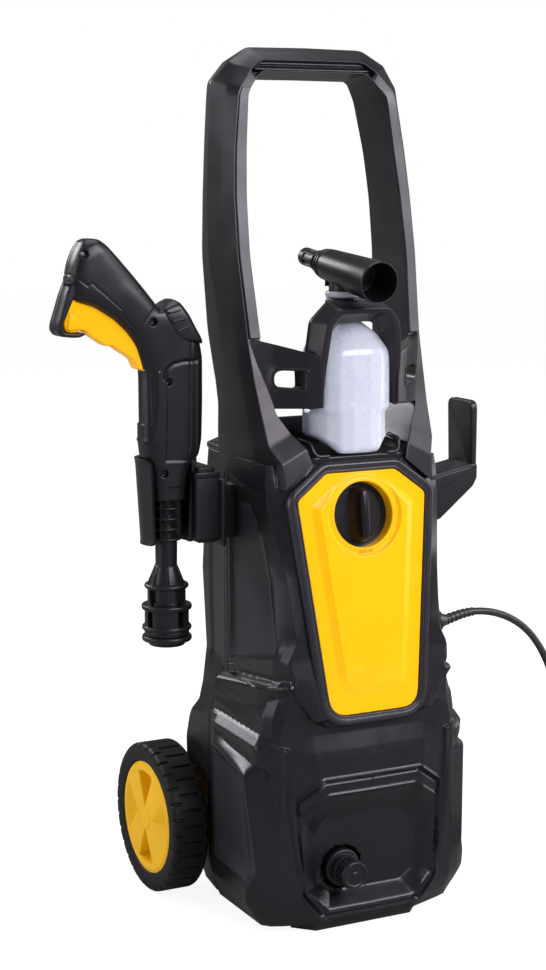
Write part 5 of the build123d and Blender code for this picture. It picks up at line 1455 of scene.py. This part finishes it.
def arcWall(inner, outer, low, high, start, end):
    # a block between two radii, two heights and two angles round the gun's axis
    section = [(inner, low), (outer - 0.5, low), (outer, low + 0.5), (outer, high - 0.5), (outer - 0.5, high),
               (inner, high)]
    return tube([[(gunPlan["axisX"] + r * cos(angle), gunPlan["axisY"] + r * sin(angle), z) for r, z in section]
                 for angle in np.linspace(start, end, 10)])


def couplingRing(low, high, radius, bore=11.2):
    profile = [(bore, low), (radius - 0.8, low), (radius, low + 1.2), (radius, high - 1.2), (radius - 0.8, high),
               (bore, high), (bore, low)]
    return hoop(lathe(roundProfile(profile, 0.9, 3), gunAxis, upright, 72), turned=True)


def lanceCoupling():
    # rings over a sleeve, and in each quarter three blocks between two radii
    pieces = [couplingRing(*ring) for ring in
              ((257.8, 262, 17.0), (262, 267, 23.0), (267, 272.6, 20.6), (272.2, 276.6, 22.8), (291.4, 296.2, 23.2),
               (257.8, 311.2, 12.8), (284, 311.4, 12.9, 4))]
    for k in range(4):
        middle = radians(-118 + 90 * k)
        for radius, low, high, before, after in ((20.4, 276, 292, 0.62, 0.62), (17.6, 296, 311.4, 0.30, 0.55),
                                                 (17.6, 296, 299.0, 0.62, 0.62)):
            pieces.append(arcWall(12, radius, low, high, middle - before, middle + after))
    return joined(*pieces)


addPiece("gunScrews", joined(*[part for at in gunPlan["screws"] for part in gunScrew(*at)]), finishes["iron"],
         body="gun", stands="gun_screws", slot="steel", merge=0)
addPiece("gunTrigger", triggerBlade(), finishes["yellowPanel"], body="trigger", stands="gun_trigger",
         slot="yellow_plastic", merge=0, sharp=60)
addPiece("thumbLock", thumbPad(), finishes["gunBlack"], body="lock", stands="trigger_lock", slot="black_case",
         merge=0, sharp=50)
addPiece("gunPipe", finnedSleeve(), finishes["gunBlack"], body="gun", stands="gun_pipe", slot="black_case", merge=0,
         sharp=40)
addPiece("lanceCoupling", lanceCoupling(), finishes["gunBlack"], body="gun", stands="lance_coupling",
         slot="black_case", merge=0, sharp=40)
print("gun")


# gun holder and its bracket

holderWall = dict(topRadius=27.8, lowRadius=23.4, wall=3.0, low=353.0, high=432.0, start=-26.0, end=219.0,
                  columns=121, rows=31)


def mouthDrop(toMouth, radius):
    # how far a quarter circle has drawn in the rim near the mouth
    return radius * (1 - np.sqrt(np.clip(1 - (1 - np.clip(toMouth / radius, 0, 1)) ** 2, 0, 1)))


def gunHolder():
    # a conical clamp: wall of rising radius over an arc, its upper corners rounded off at the mouth
    angles = np.radians(np.linspace(holderWall["start"], holderWall["end"], holderWall["columns"]))
    levels = np.linspace(0, 1, holderWall["rows"])[:, None]
    low, high, wall = holderWall["low"], holderWall["high"], holderWall["wall"]
    toMouth = np.minimum(angles - angles[0], angles[-1] - angles) * holderWall["topRadius"]
    lipDrop = 3.0 * mouthDrop(toMouth, 4.0) / 4.0
    z = (low + lipDrop) * (1 - levels) + (high - mouthDrop(toMouth, 9.0)) * levels
    radius = np.interp(z, [low, high], [holderWall["lowRadius"], holderWall["topRadius"]])
    # beads along the mouth and the two rims
    bead = np.clip(bell(toMouth, 1.6) + 0.6 * bell(levels, 0.03) + 0.8 * bell(1 - levels, 0.04), 0, 1)
    outer, inner = (np.stack([gunAxis[0] + r * np.cos(angles), gunAxis[1] + r * np.sin(angles), z], -1)
                    for r in (radius + 0.9 * bead, radius - wall - 0.5 * bead))
    return tube(np.concatenate([outer, inner[::-1]]).transpose(1, 0, 2))


def holderBracket():
    # a hollow-looking arm with a cap, a flange and the rail on the case
    pieces = []
    for x0, x1, y0, y1, z0, z1, bevel in (
            (-128, -104, -16, 26, 356, 414, 2.5), (-129, -104, -17.2, 27.2, 413, 418.4, 3),
            (-125, -108, -14, 24, 417, 422.5, 3), (-105.5, -101, -23, 33, 350, 411, 1.5),
            (-102, -86, -14, 24, 356, 405, 2), (-124, -106, -12, 22, 352.5, 357, 2)):
        outline = roundedOutline([(x0, y0), (x1, y0), (x1, y1), (x0, y1)], bevel, 4)
        pieces.append(bevelledSlab(outline, floorPlane, z0, z1, min(bevel, 1.2)))
    return joined(*pieces)


addPiece("gunHolder", gunHolder(), finishes["handleBlack"], body="machine", stands="gun_holster", slot="black_case",
         merge=0, sharp=50)
addPiece("holderBracket", holderBracket(), finishes["handleBlack"], body="machine", stands="holster_bracket",
         slot="black_case", merge=0, sharp=40)
print("gun holder")


# wheels

wheelPlan = dict(
    centre=(68.0, 72.0), radius=72.0, innerFace=110.3, width=36.0, bead=54.0, blocks=30,
    grooveDepth=2.6, hubShift=4.0, faceOuter=31.2, faceMiddle=31.8, pocketDepth=12.0, foldDepth=7.5, hubColumns=288,
    # where the points of one tread block stand, as shares of the block
    blockShares=[0, 0.05, 0.085, 0.11, 0.135, 0.17, 0.22, 0.36, 0.48, 0.55, 0.585, 0.61, 0.635, 0.67, 0.72, 0.86],
    # the back of the hub: radius, across
    hubBack=[(54.2, 29.4), (57.9, 27.4), (57.9, 5.0), (55, 4.0), (51, 4.0), (49.6, 13.0), (20, 14.5), (15, 13.0),
             (12.6, 3.0), (12.2, 2.0), (0.05, 2.0)],
)


def wheelPoints(side, radius, across, angle):
    # across runs from the wheel's inner face outwards; angle from the top towards the back
    y0, z0 = wheelPlan["centre"]
    return np.stack(np.broadcast_arrays(side * (wheelPlan["innerFace"] + across), y0 + radius * np.sin(angle),
                                        z0 + radius * np.cos(angle)), -1)


def tyre(side):
    # section from the outer bead over the tread to the inner bead; blocks are cut in by a second factor
    radius, width, bead, blocks = (wheelPlan[name] for name in ("radius", "width", "bead", "blocks"))
    profile = roundProfile([(bead, width - 5), (bead, width - 1.6), (57, width - 0.7), (65.5, width),
                            (69.6, width - 0.4), (radius, width - 2.6), (radius, 2.6), (69.6, 0.4), (62, 0),
                            (46, 1.8), (46, 4.2), (58, 6.5)], 1.2, 3)
    profile = np.concatenate([profile, [(58, width - 5)]])
    counts = np.maximum(1, np.ceil(np.hypot(*np.diff(profile, axis=0).T) / 1.3).astype(int))
    dense = [resample(profile[k:k + 2], count + 1)[:-1] for k, count in enumerate(counts)]
    r, across = np.concatenate(dense + [profile[-1:]]).T[..., None]
    shares = np.array(wheelPlan["blockShares"])
    angle = ((np.arange(blocks)[:, None] + shares) / blocks * 2 * pi).ravel()
    phase = np.tile(shares, blocks)
    # grooves across the tread, and short notches in both shoulders half a block further on
    groove, notch = (smoothStep((0.085 - np.abs(phase - middle)) / 0.03) for middle in (0.11, 0.61))
    groove = groove * smoothStep((across - 4.5) / 1.2) * smoothStep((26 - across) / 1.2)
    notch = notch * (smoothStep((across - 26.0) / 1.2) + smoothStep((4.0 - across) / 1.2))
    onTread = smoothStep((r - 66.5) / 2.0)
    return hoop(wheelPoints(side, r - wheelPlan["grooveDepth"] * onTread * np.clip(groove + notch, 0, 1), across,
                            angle))


def hubFace(radius, angle):
    # Height of the wheel's face over its rim: a rim ring, two deep wedges above and below the boss, two shallow
    # folded facets before and behind it, and a disc with a fine ring in the middle.
    side, up = np.abs(radius * np.sin(angle)), np.abs(radius * np.cos(angle))
    outer, middle = wheelPlan["faceOuter"], wheelPlan["faceMiddle"]
    face = outer + (middle - outer) * smoothStep((46 - radius) / 32) - smoothStep((radius - 50.5) / 2.5)
    # wedge: inside two straight spokes' edges and under the rim ring
    tilt, foldTilt = radians(27), radians(44)
    wedge = np.minimum((up - 13.5) * sin(tilt) - side * cos(tilt) + 1.6, 45.5 - radius)
    fold = np.minimum((side - 14.5) * sin(foldTilt) - up * cos(foldTilt), 48.5 - radius)
    face = face - smoothStep(wedge / 2.6) * (wheelPlan["pocketDepth"] - 0.06 * radius)
    face = face - wheelPlan["foldDepth"] * np.clip(fold / 13, 0, 1) - 0.5 * bell(radius - 12.2, 0.7)
    groove = bell(np.minimum(np.abs(fold), np.abs(wedge + 1.6)), 0.7) * (radius > 14)
    return face - 0.25 * groove + 0.4 * smoothStep(12 - radius)


def hub(side):
    angle, shift = fullTurn(wheelPlan["hubColumns"]), wheelPlan["hubShift"]
    radii = np.concatenate([np.linspace(0.05, 14, 16), np.linspace(14.8, 49, 46), np.linspace(49.6, 53.6, 6)])[:, None]
    front = wheelPoints(side, radii, hubFace(radii, angle) + shift, angle)
    # stiffening ribs in the back of the hub
    radii, across = roundProfile(wheelPlan["hubBack"], 1.0, 3).T[..., None]
    rib = smoothStep((1.6 - np.abs(np.mod(angle + pi / 6, pi / 3) - pi / 6) * radii) / 0.8)
    back = wheelPoints(side, radii, across - 6.5 * rib * ((radii > 14) & (radii < 50)) + shift, angle)
    return tube(np.concatenate([front, back]))


for side, name in ((-1, "left"), (1, "right")):
    addPiece(name + "Tyre", tyre(side), finishes["tyreBlack"], body=name + "_wheel", stands=name + "_tyre",
             slot="tyre_black", merge=0, sharp=38)
    addPiece(name + "Hub", hub(side), finishes["yellowHub"], body=name + "_wheel", stands=name + "_hub",
             slot="yellow_hub", merge=0, sharp=38)
print("wheels")


# cord hook and outlet

hookPlan = dict(
    # the gusset and the floor plate seen from the front: x, z
    gusset=[(84, 353.5), (136, 352), (139.5, 353), (177, 383), (181.2, 391), (181.2, 404), (174.8, 404.6),
            (172.5, 402.2), (133, 394.5), (84, 394.5)],
    floor=[(86, 388), (133, 391.0), (174, 399), (180.6, 398), (180.6, 404.6), (173.5, 404), (133, 396.2), (86, 392.5)],
    plateLow=388.0, plateTop=467.0,
)


def cordHook():
    # a floor plate and an upright plate, stiffened by a gusset at the front and one at the back
    gusset = roundedOutline(hookPlan["gusset"], [2, 2, 3, 10, 6, 1, 2, 3, 2, 2], 4)
    floorLine = roundedOutline(hookPlan["floor"], [1, 6, 3, 2, 1, 4, 6, 1], 4)
    pieces = [bevelledSlab(gusset, frontPlane, 0.0, 5.0, 1.3), bevelledSlab(gusset, frontPlane, -40.0, -36.5, 1.0),
              bevelledSlab(floorLine, frontPlane, -39.0, 3.0, 0.6, 2)]
    # upright: its rim is rounded, the front and top edges are broad
    low, top = hookPlan["plateLow"], hookPlan["plateTop"]
    outline = roundedOutline([(-4.6, low), (39.5, low), (39.5, top), (-4.6, top)], [1, 3, 9, 9], 8)
    rings = []
    for share, inset in ((0, 1.6), (0.06, 0.6), (0.2, 0), (0.5, 0), (0.8, 0), (0.94, 0.6), (1.0, 1.6)):
        y, z = insetOutline(outline, inset).T
        inner = track([(low, 175.2), (404, 175.2), (467, 173.2)], z)
        outer = track([(low, 180.2), (395, 181.2), (467, 181.0)], z)
        rings.append(np.stack([inner * (1 - share) + outer * share, y, z], -1))
    # a flange against the case
    flange = roundedOutline([(-3, 356), (38, 356), (38, 408), (-3, 408)], 3, 4)
    return joined(*pieces, tube(rings), bevelledSlab(flange, ((88, 0, 0), (0, 1, 0), upright, (1, 0, 0)), 0, 6, 1.0))


outletAxis = (-25.0, 0.0, 58.0)
outletProfile = [(0, 84), (13.5, 84), (13.5, 100), (17.6, 101), (17.6, 107.5), (16.2, 109), (13.6, 109),
                 (13.2, 111.8), (10.9, 112.2), (10.9, 127), (9.9, 128), (6.4, 128), (6.4, 116), (0, 116)]


def outletCap():
    # a screw cap with a gripped edge, a rolled flange behind, and a dished face with a centre mark
    shell = [(11.1, 113.2), (13.9, 113.2), (14.4, 114.2), (14.4, 116.6), (13.4, 117.6), (13.2, 129.5), (12.2, 131.6),
             (10.2, 132.0), (9.2, 131.0), (3.4, 130.9), (2.6, 131.6), (0, 131.6)]
    inner = [(0, 129.0), (9.6, 129.0), (11.1, 127.0), (11.1, 113.2)]
    profile = np.concatenate([inner, roundProfile(shell, 0.7, 3)[1:]])
    radius, along = profile.T
    return gripped(profile, outletAxis, frontPlane[3], 144, 24, 0.45, (radius > 12.6) & (along > 118) & (along < 130))


addPiece("cordHook", cordHook(), finishes["handleBlack"], body="machine", stands="cord_hook", slot="black_case",
         merge=0, sharp=35)
# a threaded neck in a sleeve, standing in the dish, with its cap
addPiece("outletFitting", turned(outletProfile, outletAxis, frontPlane[3], 64, 0.6), finishes["gunBlack"],
         body="machine", stands="outlet_fitting", slot="black_case", merge=0, sharp=40)
addPiece("outletCap", outletCap(), finishes["gunBlack"], body="cap", stands="outlet_cap", slot="black_case", merge=0,
         sharp=40)
print("hook and outlet")
